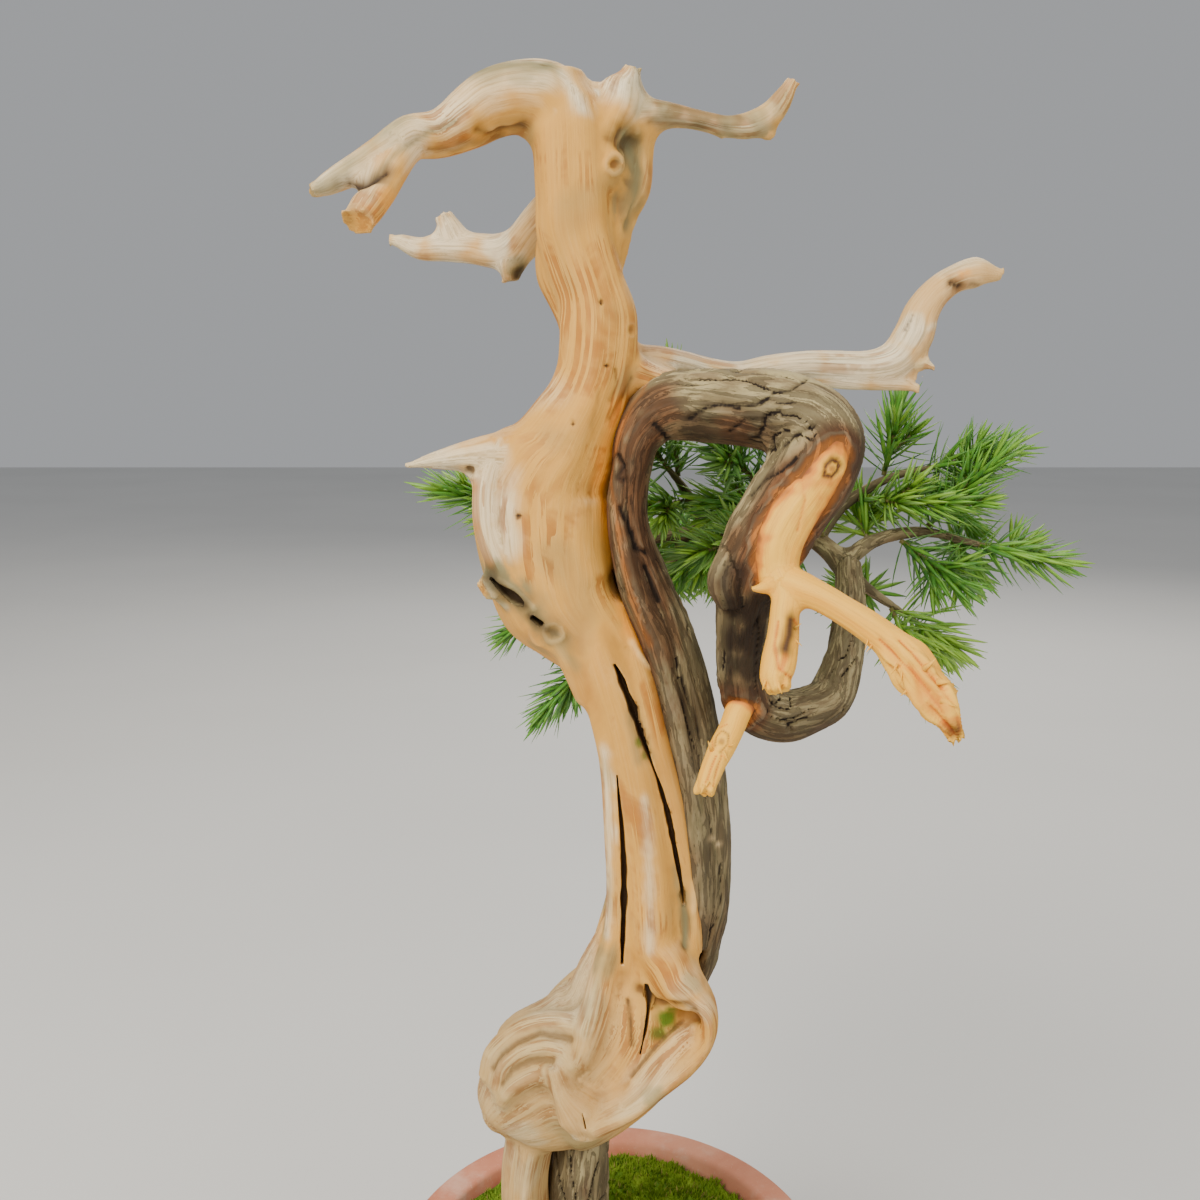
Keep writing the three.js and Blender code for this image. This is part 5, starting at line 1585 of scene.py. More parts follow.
class BarkedBranch(Timber):
    """The live wood in its bark."""

    def general_stains(self, skin: Skin) -> None:
        """Red-brown under the branch and beside the bare wood, orange round the peeled patch.

        Args:
            skin: The skin.
        """
        co, facing, stains = skin.co, skin.facing, skin.stains
        cloud = noise_of(co / 10.0, 13.0)
        under = smoothstep(-facing[:, 2] + 0.6 * cloud, 0.1, 0.7)
        beside = 1 - smoothstep(read_limbs(bare_limbs()[:1], co).distance + 2 * cloud, 1.0, 6.0)
        beside *= 0.35 + 0.65 * smoothstep(co[:, 2], 225.0, 255.0)
        stains[W] = np.maximum(0.45 * under, beside)
        stains[G] = smoothstep(facing[:, 2] + 0.5 * cloud, -0.1, 0.6)
        ragged = 1.2 * noise_of(co / 3.0, 29.0)
        away = self.from_peeled(co)
        stains[A] = 0.9 * (1 - smoothstep(away + ragged, 0.6, 2.2))
        skin.add(W, 1 - smoothstep(away + 2 * cloud, 2.5, 8.0))
        self.rim = np.exp(-(((away + ragged - 2.2) / 1.2) ** 2))

    def from_peeled(self, co: np.ndarray) -> np.ndarray:
        """Measures from the peeled wood that shows outside the bark.

        Args:
            co: Places in millimetres, one a row.

        Returns:
            How far each place is from it, in millimetres.
        """
        limbs = [*elbow_limbs(), Limb(PEELED_LOW)]
        obj = linked(fused([limb.mesh() for limb in limbs], "peeled"), "peeled")
        self.remesh(obj, 0.8)
        mesh = applied(obj)
        wood = coordinates(mesh) / MM
        wood = wood[read_limbs(vein_limbs(), wood).distance > 0.15]
        bpy.data.meshes.remove(mesh)
        places = KDTree(len(wood))
        for i, place in enumerate(wood):
            places.insert(place, i)
        places.balance()
        away = np.full(len(co), 99.0)
        low, high = wood.min(0) - 10, wood.max(0) + 10
        for i in np.nonzero(np.all((co > low) & (co < high), axis=1))[0]:
            away[i] = places.find(co[i])[2]
        return away

    def carve(self, skin: Skin) -> np.ndarray:
        """Flakes with fissures between them.

        Args:
            skin: The skin.

        Returns:
            The height at each vertex, in millimetres.
        """
        grain = skin.reading.grain
        share = np.clip(skin.reading.size / FULL_SIZE, 0.12, 1.0)
        swell = noise_of(skin.co / 11.0, 17.0)
        bend = 0.5 * np.stack([along_grain(grain, 0.2, 0.06, seed) for seed in (2.0, 8.0, 14.0)], axis=1)
        flake = 1 - 2 * np.abs(along_grain(grain, 0.26, 0.06, 5.3, bend))
        fibre = 1 - 2 * np.abs(along_grain(grain, 0.7, 0.08, 41.0, bend))
        split = np.abs(along_grain(grain, 0.17, 0.045, 19.0, bend))
        open_here = smoothstep(along_grain(grain, 0.08, 0.04, 3.0), -0.15, 0.2)
        crack = (1 - smoothstep(split, 0.0, 0.06)) * open_here
        calm = 1 - 0.75 * np.maximum(skin.stains[W], skin.stains[A])
        rough = 0.5 * flake + 0.25 * fibre - 1.2 * crack
        return share * (0.5 * swell + calm * rough) + 0.6 * self.rim

    def material(self) -> Material:
        """Flaking bark."""
        return BarkFinish().material("bark")


@dataclass
class PeeledWood(Timber):
    """Fresh wood laid bare by peeling the bark, torn at its ends."""

    whole: int = -1
    most_torn: int = -1

    def carve(self, skin: Skin) -> np.ndarray:
        """Relief along the grain, with flakes where a stub was broken off.

        Args:
            skin: The skin.

        Returns:
            The height at each vertex, in millimetres.
        """
        reading = skin.reading
        start = np.where(reading.limb == self.most_torn, 0.5, 0.85)
        ends = smoothstep(reading.share - start, 0.0, 0.15) * (reading.limb != self.whole)
        ends = ends * np.where(reading.limb == self.most_torn, 1.0, 0.45)
        flake = along_grain(reading.grain, 0.45, 0.16, 83.0)
        fibre = along_grain(reading.grain, 0.8, 0.15, 19.0)
        sharp = np.sign(flake) * np.abs(flake) ** 0.5
        return super().carve(skin) + ends * (1.1 * sharp + 0.8 * fibre)

    def general_stains(self, skin: Skin) -> None:
        """Orange where the bark begins."""
        vein = read_limbs(vein_limbs(), skin.co).distance
        skin.stains[A] = 1 - smoothstep(vein + 0.8 * noise_of(skin.co / 2.5, 37.0), -0.4, 2.0)

    def material(self) -> Material:
        """Pale fresh wood."""
        return FreshWoodFinish().material(self.slot + "_" + self.name)


# Stains, painted shade, knots, cracks and strokes of each piece of wood, at columns and rows of the image; the
# H patches and strokes paint shade in clefts, pits, grooves, forks and under folds, with some dark wood.
TRUNK_PATCHES = [
    *patches(G, 0.3, (520, 1040, 9), (540, 1095, 9)),
    *patches(G, 0.5, (640, 95, 5), (592, 1010, 5), (500, 1100, 4), (690, 985, 4), (540, 648, 4),
        (535, 1165, 7), (635, 385, 5)),
    *patches(G, 0.6, (385, 128, 5), (520, 72, 4)),
    *patches(G, 0.7, (490, 68, 6), (700, 118, 4), (760, 124, 4), (605, 900, 4),
        (600, 960, 5), (655, 1100, 4), (632, 205, 5)),
    *patches(G, 0.8, (670, 112, 4), (730, 124, 4), (630, 150, 5), (515, 268, 4), (500, 600, 4)),
    *patches(G, 1.0, (496, 577, 4.5), (515, 595, 4.5), (540, 622, 4)),
    *patches(W, 0.3, (530, 1040, 7), (640, 1082, 6)),
    *patches(W, 0.4, (490, 1100, 7), (690, 985, 5), (705, 1008, 5)),
    *patches(W, 0.5, (565, 1000, 7), (609, 780, 3), (525, 1180, 7)),
    *patches(W, 0.6, (520, 1136, 7), (607, 830, 3)),
    *patches(W, 0.7, (445, 108, 8), (485, 82, 9), (492, 540, 7), (576, 1140, 4)),
    *patches(W, 0.8, (350, 165, 8), (400, 128, 8), (525, 72, 8), (482, 468, 8)),
    *patches(W, 1.0, (330, 186, 5), (620, 85, 7), (632, 78, 5), (405, 241, 6), (450, 238, 8), (498, 250, 8),
        (445, 461, 7), (420, 463, 5), (690, 360, 8), (750, 366, 8), (800, 364, 8), (850, 368, 9), (893, 368, 8),
        (912, 330, 6)),
    Patch(640, 1060, 8, G, 0.25), Patch(500, 1075, 8, G, 0.35), Patch(780, 100, 4, G, 0.4),
    Patch(553, 634, 3.5, G, 0.9), Patch(495, 1060, 8, W, 0.35), Patch(484, 505, 8, W, 0.75),
    Patch(620, 1055, 6, A, 0.15), Patch(600, 400, 5, A, 0.2), Patch(362, 218, 4, A, 0.35),
    Patch(385, 195, 3, A, 0.5), Patch(365, 212, 3.5, A, 0.6), Patch(700, 356, 4, P, 0.8),
    Patch(520, 273, 3, H, 0.85), Patch(645, 755, 1.2, M, 0.6), Patch(640, 742, 1.6, M, 0.8),
    Patch(660, 1033, 2.4, M, 0.9), Patch(667, 1018, 3.4, M, 1.0),
]
TRUNK_MARKS = [Mark(*row) for row in (
    (500, 426, 2.2, 0.6, 0.5, 0.3, 0.2), (470, 470, 1.4, 0.7, 0.4, 0.6, 0.2),
    (554, 633, 1.7, 0.6, 0.6, 0.5), (616, 164, 1.7, 0.5, 0.6, 0.4),
    (632, 330, 1.2, 0.3, 0.2, 0.3), (602, 302, 0.6, 0.8, 0.0, 1.0),
    (607, 366, 0.6, 0.8, 0.0, 1.0), (573, 423, 0.6, 0.8, 0.0, 1.0), (518, 516, 0.8, 0.8, 0.0, 1.0),
)]
TRUNK_CLEFTS = [Cleft(*row) for row in (
    ([(614, 664, 0.3), (619, 674, 0.6), (625, 690, 0.9), (632, 706, 1.0), (638, 724, 0.8), (645, 745, 0.5),
     (652, 765, 0.45)], 5.0),
    ([(650, 760, 0.4), (657, 778, 0.5), (662, 793, 0.5), (667, 810, 0.6), (671, 828, 0.75), (675, 850, 0.7),
     (679, 870, 0.5), (682, 888, 0.4), (684, 905, 0.35)], 3.0),
    ([(617, 775, 0.25), (619, 800, 0.4), (622, 830, 0.6), (624, 870, 0.8), (624, 905, 0.9),
     (623, 935, 0.7), (622, 965, 0.4)], 3.0),
    ([(646, 985, 0.4), (650, 1000, 0.7), (646, 1028, 0.5), (640, 1055, 0.3)], 2.5),
    ([(582, 1112, 0.4), (586, 1130, 0.5)], 1.6),
    ([(490, 578, 0.3), (497, 585, 0.5), (503, 590, 0.9), (509, 595, 1.4),
     (516, 599, 1.5), (523, 604, 0.5)], 4.5),
    ([(531, 617, 0.5), (536, 621, 1.2), (542, 625, 0.7)], 4.0),
)]
LIVE_EDGE: list[Station] = [
    (650, 380), (640, 395), (632, 405), (625, 420), (618, 440), (613, 460), (611, 480), (613, 500), (617, 520),
    (620, 545), (624, 565), (628, 590), (635, 610), (640, 625), (650, 645),
]
TRUNK_STROKES = [Stroke(*row) for row in (
    ([(column - 10, row) for column, row in LIVE_EDGE], 3.0, 0.0, A, 0.95),
    ([(484, 570), (496, 586), (512, 599), (528, 609), (548, 628), (562, 642)], 3.4, 0.0, G, 1.0),
    ([(490, 577), (500, 588), (512, 597), (525, 605)], 2.2, -0.3, H, 0.8),
    ([(486, 582), (494, 596), (506, 606)], 0.9, 0.7, W, 0.9),
    ([(500, 580), (512, 587), (524, 597), (534, 608)], 0.8, 0.6, P, 0.6),
    ([(530, 617), (538, 624), (546, 629)], 1.9, -0.3, H, 0.8),
    ([(556, 642), (566, 654), (576, 668)], 1.6, 0.0, G, 0.7),
    # Painted shade in the mouth of the top left fork
    ([(350, 188), (360, 184), (372, 178), (386, 171)], 2.0, -1.5, H, 1.0),
    ([(352, 208), (368, 216)], 2.0, 0.0, G, 0.5),
    ([(478, 131), (490, 136), (505, 130), (520, 127)], 1.5, -0.9, H, 0.5),
    # Painted shadow under the fold of the base
    ([(640, 990), (655, 1001), (672, 1005), (690, 1007), (700, 1018)], 1.4, -1.0, H, 0.55),
    ([(694, 1028), (676, 1038), (656, 1058), (636, 1082)], 1.8, 0.8, P, 0.35),
    ([(682, 1022), (666, 1036), (650, 1054), (632, 1076)], 0.6, -0.6, H, 0.5),
    ([(490, 1055), (510, 1035), (530, 1022), (555, 1022), (585, 1030)], 1.8, 0.6, P, 0.3),
    ([(500, 1065), (520, 1052), (545, 1047), (560, 1050), (570, 1065)], 1.6, 0.6, P, 0.3),
    ([(505, 1095), (520, 1080), (545, 1072)], 1.6, 0.5, P, 0.3),
    ([(493, 1068), (503, 1054), (518, 1042), (540, 1033), (570, 1039)], 1.0, -0.7, H, 0.35),
    ([(502, 1084), (512, 1070), (530, 1061), (552, 1060)], 1.0, -0.6, H, 0.3),
    ([(602, 960), (592, 1015), (586, 1035)], 1.5, 0.4, G, 0.6),
    ([(604, 750), (607, 800), (608, 850), (608, 900), (606, 935)], 1.5, 0.0, W, 0.7),
    ([(606, 890), (604, 920), (602, 955)], 1.6, 0.0, G, 0.5),
    ([(645, 800), (648, 850), (650, 900), (650, 950)], 1.3, 0.2, W, 0.55),
    # These two paint shade on both sides of the rib, in the algae colour
    ([(630, 715), (634, 738), (638, 760)], 1.5, 0.0, G, 0.6),
    ([(675, 868), (680, 895), (684, 935)], 1.2, 0.0, G, 0.7),
    ([(628, 1000), (631, 1022), (632, 1045)], 0.6, -0.4, H, 0.7),
    ([(632, 642), (640, 655), (650, 668)], 0.9, 0.4, P, 0.9),
    # Painted shade in the hollow below the broken top, in the dark and the algae colour
    ([(622, 128), (618, 142), (626, 150), (636, 142)], 2.0, -1.2, H, 0.5),
    ([(630, 135), (636, 160), (638, 190), (632, 222)], 2.8, -1.8, G, 1.0),
    ([(692, 790), (696, 850), (694, 910)], 1.2, 0.3, P, 0.3),
    # These two paint shade beside the rib, in the algae colour
    ([(683, 895), (686, 920), (686, 945)], 1.4, -0.8, G, 1.0),
    ([(635, 712), (641, 735), (648, 755)], 1.6, -0.5, G, 0.8),
    ([(600, 765), (603, 810), (604, 870), (602, 930)], 1.0, 0.0, P, 0.4),
    ([(640, 70), (648, 88), (655, 98)], 2.0, 0.0, G, 0.8),
    ([(640, 104), (662, 112), (692, 120), (725, 126), (758, 124)], 3.4, 0.0, W, 0.75),
    ([(655, 118), (690, 128), (725, 132), (755, 134)], 1.6, 0.0, G, 0.55),
    ([(766, 118), (776, 104), (784, 88), (788, 76)], 2.6, 0.0, W, 0.6),
    ([(772, 124), (780, 108), (786, 94)], 1.0, 0.0, G, 0.5),
    ([(318, 188), (340, 172), (366, 150), (385, 132), (404, 118)], 2.0, 0.0, G, 0.75),
    ([(372, 176), (400, 150), (430, 132), (455, 122)], 0.9, -0.3, G, 0.7),
    ([(404, 116), (428, 98), (452, 82), (480, 70), (515, 65), (548, 66)], 3.4, 0.0, G, 1.0),
    ([(462, 144), (482, 143), (500, 136), (514, 142)], 1.6, 0.0, H, 0.45),
    ([(308, 196), (320, 190), (334, 186)], 2.2, 0.0, G, 0.8),
    ([(650, 122), (690, 126), (725, 128)], 1.3, -0.3, H, 0.35),
    ([(560, 72), (572, 88), (582, 108)], 2.0, 0.0, W, 0.9),
    ([(465, 138), (485, 140), (500, 132), (520, 138)], 1.2, -0.5, A, 0.35),
    ([(430, 150), (455, 152), (470, 145)], 1.2, -0.4, H, 0.4),
    ([(616, 370), (618, 385), (612, 400)], 0.8, -0.4, H, 0.3),
    ([(632, 378), (626, 392), (618, 405), (610, 418)], 0.9, -0.4, H, 0.35),
    ([(600, 390), (597, 408), (592, 425)], 0.7, -0.2, H, 0.25),
    ([(648, 372), (656, 380)], 1.0, -0.3, H, 0.4),
    # Painted shadow on the underside of the branch end
    ([(952, 283), (960, 287)], 1.4, -1.0, H, 0.9),
    ([(972, 285), (990, 289)], 1.0, -0.4, H, 0.5),
    ([(962, 274), (968, 272)], 1.0, 0.0, A, 0.7),
    ([(900, 347), (915, 336), (940, 322)], 1.3, 0.2, W, 0.9),
    ([(905, 330), (909, 322), (913, 315)], 0.4, -0.3, H, 0.8),
    ([(917, 366), (930, 358)], 0.8, 0.3, P, 0.8),
    ([(880, 345), (900, 352)], 0.9, 0.0, P, 0.5),
)]
BRANCH_PATCHES = [
    *patches(W, 0.8, (660, 635, 7), (735, 540, 5)),
    *patches(W, 0.9, (650, 595, 7), (655, 405, 7), (735, 435, 6), (745, 705, 6)),
    *patches(W, 0.95, (640, 430, 7), (632, 455, 7), (630, 490, 7), (636, 525, 7), (643, 560, 7)),
    # Painted shadow, with dark bark, on the branch where it runs behind the bare stubs
    *patches(H, 0.85, (745, 610, 7), (742, 665, 6)),
    Patch(858, 460, 7, H, 0.3), Patch(760, 425, 5, H, 0.35), Patch(700, 430, 5, H, 0.4),
    Patch(740, 690, 5, H, 0.5), Patch(735, 575, 5, H, 0.6), Patch(742, 640, 7, H, 0.9),
]
BRANCH_STROKES = [Stroke(*row) for row in (
    (LIVE_EDGE, 0.9, -0.2, A, 0.6),
    ([(655, 425), (668, 438), (678, 446)], 0.8, -0.6, H, 0.7),
    ([(690, 418), (706, 408), (722, 404), (738, 408)], 0.7, -0.6, H, 0.7),
    ([(730, 432), (745, 420), (765, 418), (780, 410)], 0.6, -0.5, H, 0.6),
    ([(762, 402), (775, 392), (792, 390), (806, 380)], 0.6, -0.5, H, 0.6),
    ([(785, 446), (798, 432), (815, 426)], 0.6, -0.5, H, 0.6),
    ([(752, 495), (765, 480), (782, 470), (796, 458)], 0.7, -0.6, H, 0.6),
    ([(620, 508), (628, 522), (633, 538), (636, 548), (645, 552)], 0.8, -0.7, H, 0.9),
    ([(645, 567), (652, 585), (658, 600)], 0.8, -0.7, H, 0.9),
    ([(618, 455), (625, 465), (617, 478), (623, 480)], 0.8, -0.5, H, 0.8),
    ([(650, 490), (652, 540), (656, 600)], 1.2, 0.2, G, 0.8),
    ([(680, 680), (688, 725), (695, 770)], 1.2, -0.3, H, 0.5),
    ([(709, 838), (711, 838)], 0.9, 0.1, P, 0.8),
    ([(717, 843), (719, 843)], 0.8, 0.1, P, 0.8),
)]
ELBOW_MARKS = [Mark(833, 468, 1.1, 0.3, 0.0, 0.5)]
ELBOW_PATCHES = [
    *patches(A, 0.3, (925, 690, 4), (915, 700, 4)),
    Patch(800, 520, 3, A, 0.2), Patch(822, 500, 3, A, 0.25), Patch(935, 705, 3, A, 0.35),
    Patch(843, 440, 4.5, A, 0.55), Patch(950, 727, 2.5, A, 0.8), Patch(775, 530, 5, P, 0.8),
    Patch(955, 732, 1.6, H, 0.6),
]
ELBOW_STROKES = [Stroke(*row) for row in (
    ([(825, 475), (826, 465), (833, 459), (841, 462), (840, 470), (833, 477), (825, 475)],
     0.75, -0.7, H, 1.0),
    ([(838, 460), (842, 466)], 0.9, -0.6, H, 0.9),
    ([(791, 620), (790, 634), (786, 648)], 1.6, -0.4, H, 1.0),
    ([(786, 655), (782, 668)], 0.9, -0.2, A, 0.6),
    ([(880, 640), (905, 665), (930, 690)], 0.5, -0.4, A, 0.4),
    ([(900, 640), (925, 668), (945, 690)], 0.4, -0.4, A, 0.35),
    ([(895, 690), (915, 708), (940, 725)], 0.5, -0.5, A, 0.6),
    ([(778, 622), (774, 645), (779, 668), (792, 678), (803, 665), (804, 640), (796, 620)],
     0.6, -0.3, A, 0.55),
    ([(800, 470), (805, 500), (798, 530)], 0.5, -0.2, A, 0.4),
)]
ELBOW_SPLINTERS = [Splinter(*row) for row in (
    (899, 628, 897, 616, 0.35), (902, 630, 902, 617, 0.3), (905, 631, 908, 619, 0.3),
    (872, 645, 865, 652, 0.3), (868, 640, 864, 650, 0.25), (897, 665, 890, 674, 0.35),
    (902, 672, 900, 684, 0.3), (908, 690, 899, 695, 0.5), (925, 668, 934, 656, 0.8),
    (938, 682, 950, 680, 0.9), (943, 700, 957, 706, 0.9), (795, 628, 801, 622, 0.4),
    (796, 640, 802, 646, 0.3), (762, 598, 753, 593, 0.5), (918, 716, 912, 726, 0.6),
    (930, 728, 926, 738, 0.5), (778, 684, 782, 694, 0.6), (765, 682, 762, 690, 0.5),
)]
STUB_MARKS = [Mark(722, 741, 1.0, 0.3, 0.1, 0.5)]
STUB_STROKES = [Stroke(*row) for row in (
    ([(715, 745), (716, 736), (722, 730), (729, 734), (728, 744), (721, 752)], 0.35, -0.3, H, 0.6),
    ([(712, 750), (712, 738), (718, 728), (727, 724)], 0.3, -0.2, A, 0.7),
    ([(716, 756), (711, 768), (707, 782)], 0.4, -0.3, A, 0.6),
    ([(722, 756), (717, 770), (713, 786)], 0.4, -0.3, A, 0.5),
)]
STUB_SPLINTERS = [Splinter(*row) for row in (
    (712, 750, 707, 738, 0.7), (724, 752, 729, 762, 0.5), (729, 746, 735, 742, 0.3),
    (704, 786, 700, 794, 0.6), (712, 788, 712, 797, 0.6), (708, 782, 704, 790, 0.5),
)]


@dataclass(frozen=True)
class NeedleFinish:
    """Juniper needles: fresh green with a pale band, yellower when young."""

    deep: Colour = (0.022, 0.10, 0.016)
    green: Colour = (0.09, 0.29, 0.03)
    young: Colour = (0.30, 0.50, 0.05)
    band: Colour = (0.26, 0.44, 0.18)
    twig: Colour = (0.17, 0.15, 0.05)

    def material(self) -> Material:
        """Mixes the finish.

        Returns:
            The material.
        """
        sheet = Sheet("needles")
        tint = sheet.attribute("tint")
        along = sheet.attribute("along")
        green = sheet.ramp(tint, [(0.0, self.deep), (0.45, self.green), (1.0, self.young)])
        speck = sheet.noise(sheet.place(), 350.0, 3.0, 0.6)
        green = sheet.mix(sheet.span(speck, 0.4, 0.7, 0.0, 0.35), green, self.young)
        green = sheet.mix(sheet.times(sheet.attribute("band"), 0.55), green, self.band)
        green = sheet.mix(sheet.span(along, 0.12, 0.0, 0.0, 0.7), green, self.young)
        green = sheet.mix(sheet.attribute("stem"), green, self.twig)
        return sheet.finish(green, 0.42, sheet.bump(speck, 0.1, 0.3), 0.4)


@dataclass
class Shoot:
    """One leafy shoot: a slim stem and its needles.

    Attributes:
        root: The stem's root, in millimetres.
        tip: Its tip.
        size: Size of its needles as a share of the full size.
        youth: How young its needles look, from 0 to 1.
    """

    root: Vector
    tip: Vector
    size: float
    youth: float


@dataclass
class Foliage:
    """The leafy shoots of the crown, one piece for each spray of the CAD part."""

    needle_length: float = 16.0
    needle_width: float = 1.5
    needle_thickness: float = 0.5
    whorl_spacing: float = 1.6
    needles_in_whorl: int = 4
    root_spread: float = 64.0
    tip_spread: float = 24.0
    stem_radius: float = 0.8
    stem_sunk: float = 1.5
    bow: float = 0.09
    side_shoots: int = 2
    side_size: float = 0.75
    side_lean: tuple[float, float] = (35, 50)
    side_length: tuple[float, float] = (7, 12)

    def build(self) -> list[Object]:
        """Makes every spray.

        Returns:
            The pieces.
        """
        material = NeedleFinish().material()
        needle = self.needle()
        stem = self.stem()
        sprays = []
        for number, name in enumerate(sorted(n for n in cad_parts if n.startswith("needle_spray"))):
            draws = random.Random(number + 1)
            mesh = self.spray(needle, stem, self.shoots(*self.stem_of(name), draws), draws)
            mesh.materials.append(material)
            sprays.append(ridden(mesh, name + "_leaves", "needles", (name,)))
        bpy.data.meshes.remove(needle)
        bpy.data.meshes.remove(stem)
        return sprays

    @staticmethod
    def needle() -> Mesh:
        """Makes one flat needle with a pale band on its inner face.

        Returns:
            The needle, of length 1 along +Z and of width 1.
        """
        bm = bmesh.new()
        bmesh.ops.create_cone(bm, cap_ends=True, segments=4, radius1=0.5, radius2=0.5, depth=1)
        upright = [e for e in bm.edges if abs(e.verts[0].co.z - e.verts[1].co.z) > 0.5]
        bmesh.ops.subdivide_edges(bm, edges=upright, cuts=2, use_grid_fill=True)
        mesh = made(bm, "needle")
        co = coordinates(mesh)
        along = co[:, 2] + 0.5
        full = np.interp(along, [0.0, 0.34, 0.67, 1.0], [0.62, 1.0, 0.8, 0.1])
        store(mesh, "along", along)
        store(mesh, "band", ((co[:, 1] > 0.2) & (along > 0.1) & (along < 0.9)).astype(float))
        store(mesh, "stem", np.zeros(len(co)))
        set_coordinates(mesh, np.stack([co[:, 0] * full, co[:, 1] * full, along], axis=1))
        return mesh

    @staticmethod
    def stem() -> Mesh:
        """Makes one stem, slimmer at its tip.

        Returns:
            The stem, of length 1 along +Z and of radius 1.
        """
        bm = bmesh.new()
        bmesh.ops.create_cone(bm, cap_ends=True, segments=6, radius1=1, radius2=0.5, depth=1)
        mesh = made(bm, "stem")
        co = coordinates(mesh)
        store(mesh, "along", co[:, 2] + 0.5)
        store(mesh, "band", np.zeros(len(co)))
        store(mesh, "stem", np.ones(len(co)))
        set_coordinates(mesh, co + np.array([0, 0, 0.5]))
        return mesh

    @staticmethod
    def stem_of(node: str) -> tuple[Vector, Vector]:
        """Finds the slim stem inside a CAD spray.

        Args:
            node: The spray's node.

        Returns:
            Its root and its tip, in millimetres.
        """
        bm = bmesh.new()
        bm.from_mesh(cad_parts[node].data)
        bmesh.ops.remove_doubles(bm, verts=bm.verts, dist=SAME)
        core = np.array([v.co for v in bm.verts if len(v.link_edges) > 3]) / MM
        tips = np.array([v.co for v in bm.verts if len(v.link_edges) <= 3]) / MM
        bm.free()
        middle = core.mean(0)
        axis = np.linalg.svd(core - middle, full_matrices=False)[2][0]
        if ((tips.mean(0) - middle) @ axis) < 0:
            axis = -axis
        reach = (core - middle) @ axis
        return Vector(middle + axis * reach.min()), Vector(middle + axis * reach.max())

    def shoots(self, root: Vector, tip: Vector, draws: random.Random) -> list[Shoot]:
        """The main shoot between two places and its side shoots.

        Args:
            root: The stem's root, in millimetres.
            tip: Its tip.
            draws: The spray's own random draws.

        Returns:
            The shoots.
        """
        axis = (tip - root).normalized()
        side, across = self.cross_axes(axis)
        youth = draws.uniform(0.15, 0.65)
        shoots = [Shoot(root - axis * self.stem_sunk, tip, 1.0, youth)]
        for _ in range(self.side_shoots):
            turn = draws.uniform(0, 2 * math.pi)
            lean = math.radians(draws.uniform(*self.side_lean))
            out = side * math.cos(turn) + across * math.sin(turn)
            heading = axis * math.cos(lean) + out * math.sin(lean)
            base = root.lerp(tip, draws.uniform(0.15, 0.6))
            end = base + heading * draws.uniform(*self.side_length)
            shoots.append(Shoot(base, end, self.side_size, youth + 0.15))
        return shoots

    @staticmethod
    def cross_axes(axis: Vector) -> tuple[Vector, Vector]:
        """Two directions square to an axis."""
        side = axis.cross(Vector((0, 0, 1)) if abs(axis.z) < 0.9 else Vector((1, 0, 0))).normalized()
        return side, axis.cross(side).normalized()

    def spray(
        self, needle: Mesh, stem: Mesh, shoots: list[Shoot], draws: random.Random
    ) -> Mesh:
        """The stems of some shoots with their needles.

        Args:
            needle: The needle that is repeated.
            stem: The stem that is repeated.
            shoots: The shoots.
            draws: The spray's own random draws.

        Returns:
            The mesh, in metres.
        """
        stems = Copies(stem)
        needles = Copies(needle)
        for shoot in shoots:
            axis = (shoot.tip - shoot.root).normalized()
            length = (shoot.tip - shoot.root).length
            side, across = self.cross_axes(axis)
            radius = self.stem_radius * (0.6 + 0.4 * shoot.size)
            stems.add(shoot.root, side * radius, across * radius, axis * length, Vector(), shoot.youth)
            whorls = max(3, int(length / self.whorl_spacing))
            for whorl in range(whorls):
                share = (whorl + 0.6) / whorls
                for k in range(self.needles_in_whorl):
                    turn = whorl * 1.2 + k * 2 * math.pi / self.needles_in_whorl + draws.uniform(-0.25, 0.25)
                    spread = self.root_spread + (self.tip_spread - self.root_spread) * share
                    spread = math.radians(spread + draws.uniform(-10, 10))
                    out = side * math.cos(turn) + across * math.sin(turn)
                    reach = self.needle_length * shoot.size * draws.uniform(0.8, 1.08) * (1 - 0.25 * share**3)
                    base = shoot.root + axis * length * share + out * radius * 0.3
                    heading = axis * math.cos(spread) + out * math.sin(spread)
                    inwards = axis * math.sin(spread) - out * math.cos(spread)
                    sideways = heading.cross(inwards) * self.needle_width
                    shade = min(1.0, max(0.0, shoot.youth + draws.uniform(-0.2, 0.2) + 0.25 * share))
                    bow = inwards * reach * self.bow
                    needles.add(base, sideways, inwards * self.needle_thickness, heading * reach, bow, shade)
        mesh = fused([stems.mesh(), needles.mesh()], "spray")
        mesh.shade_smooth()
        return mesh


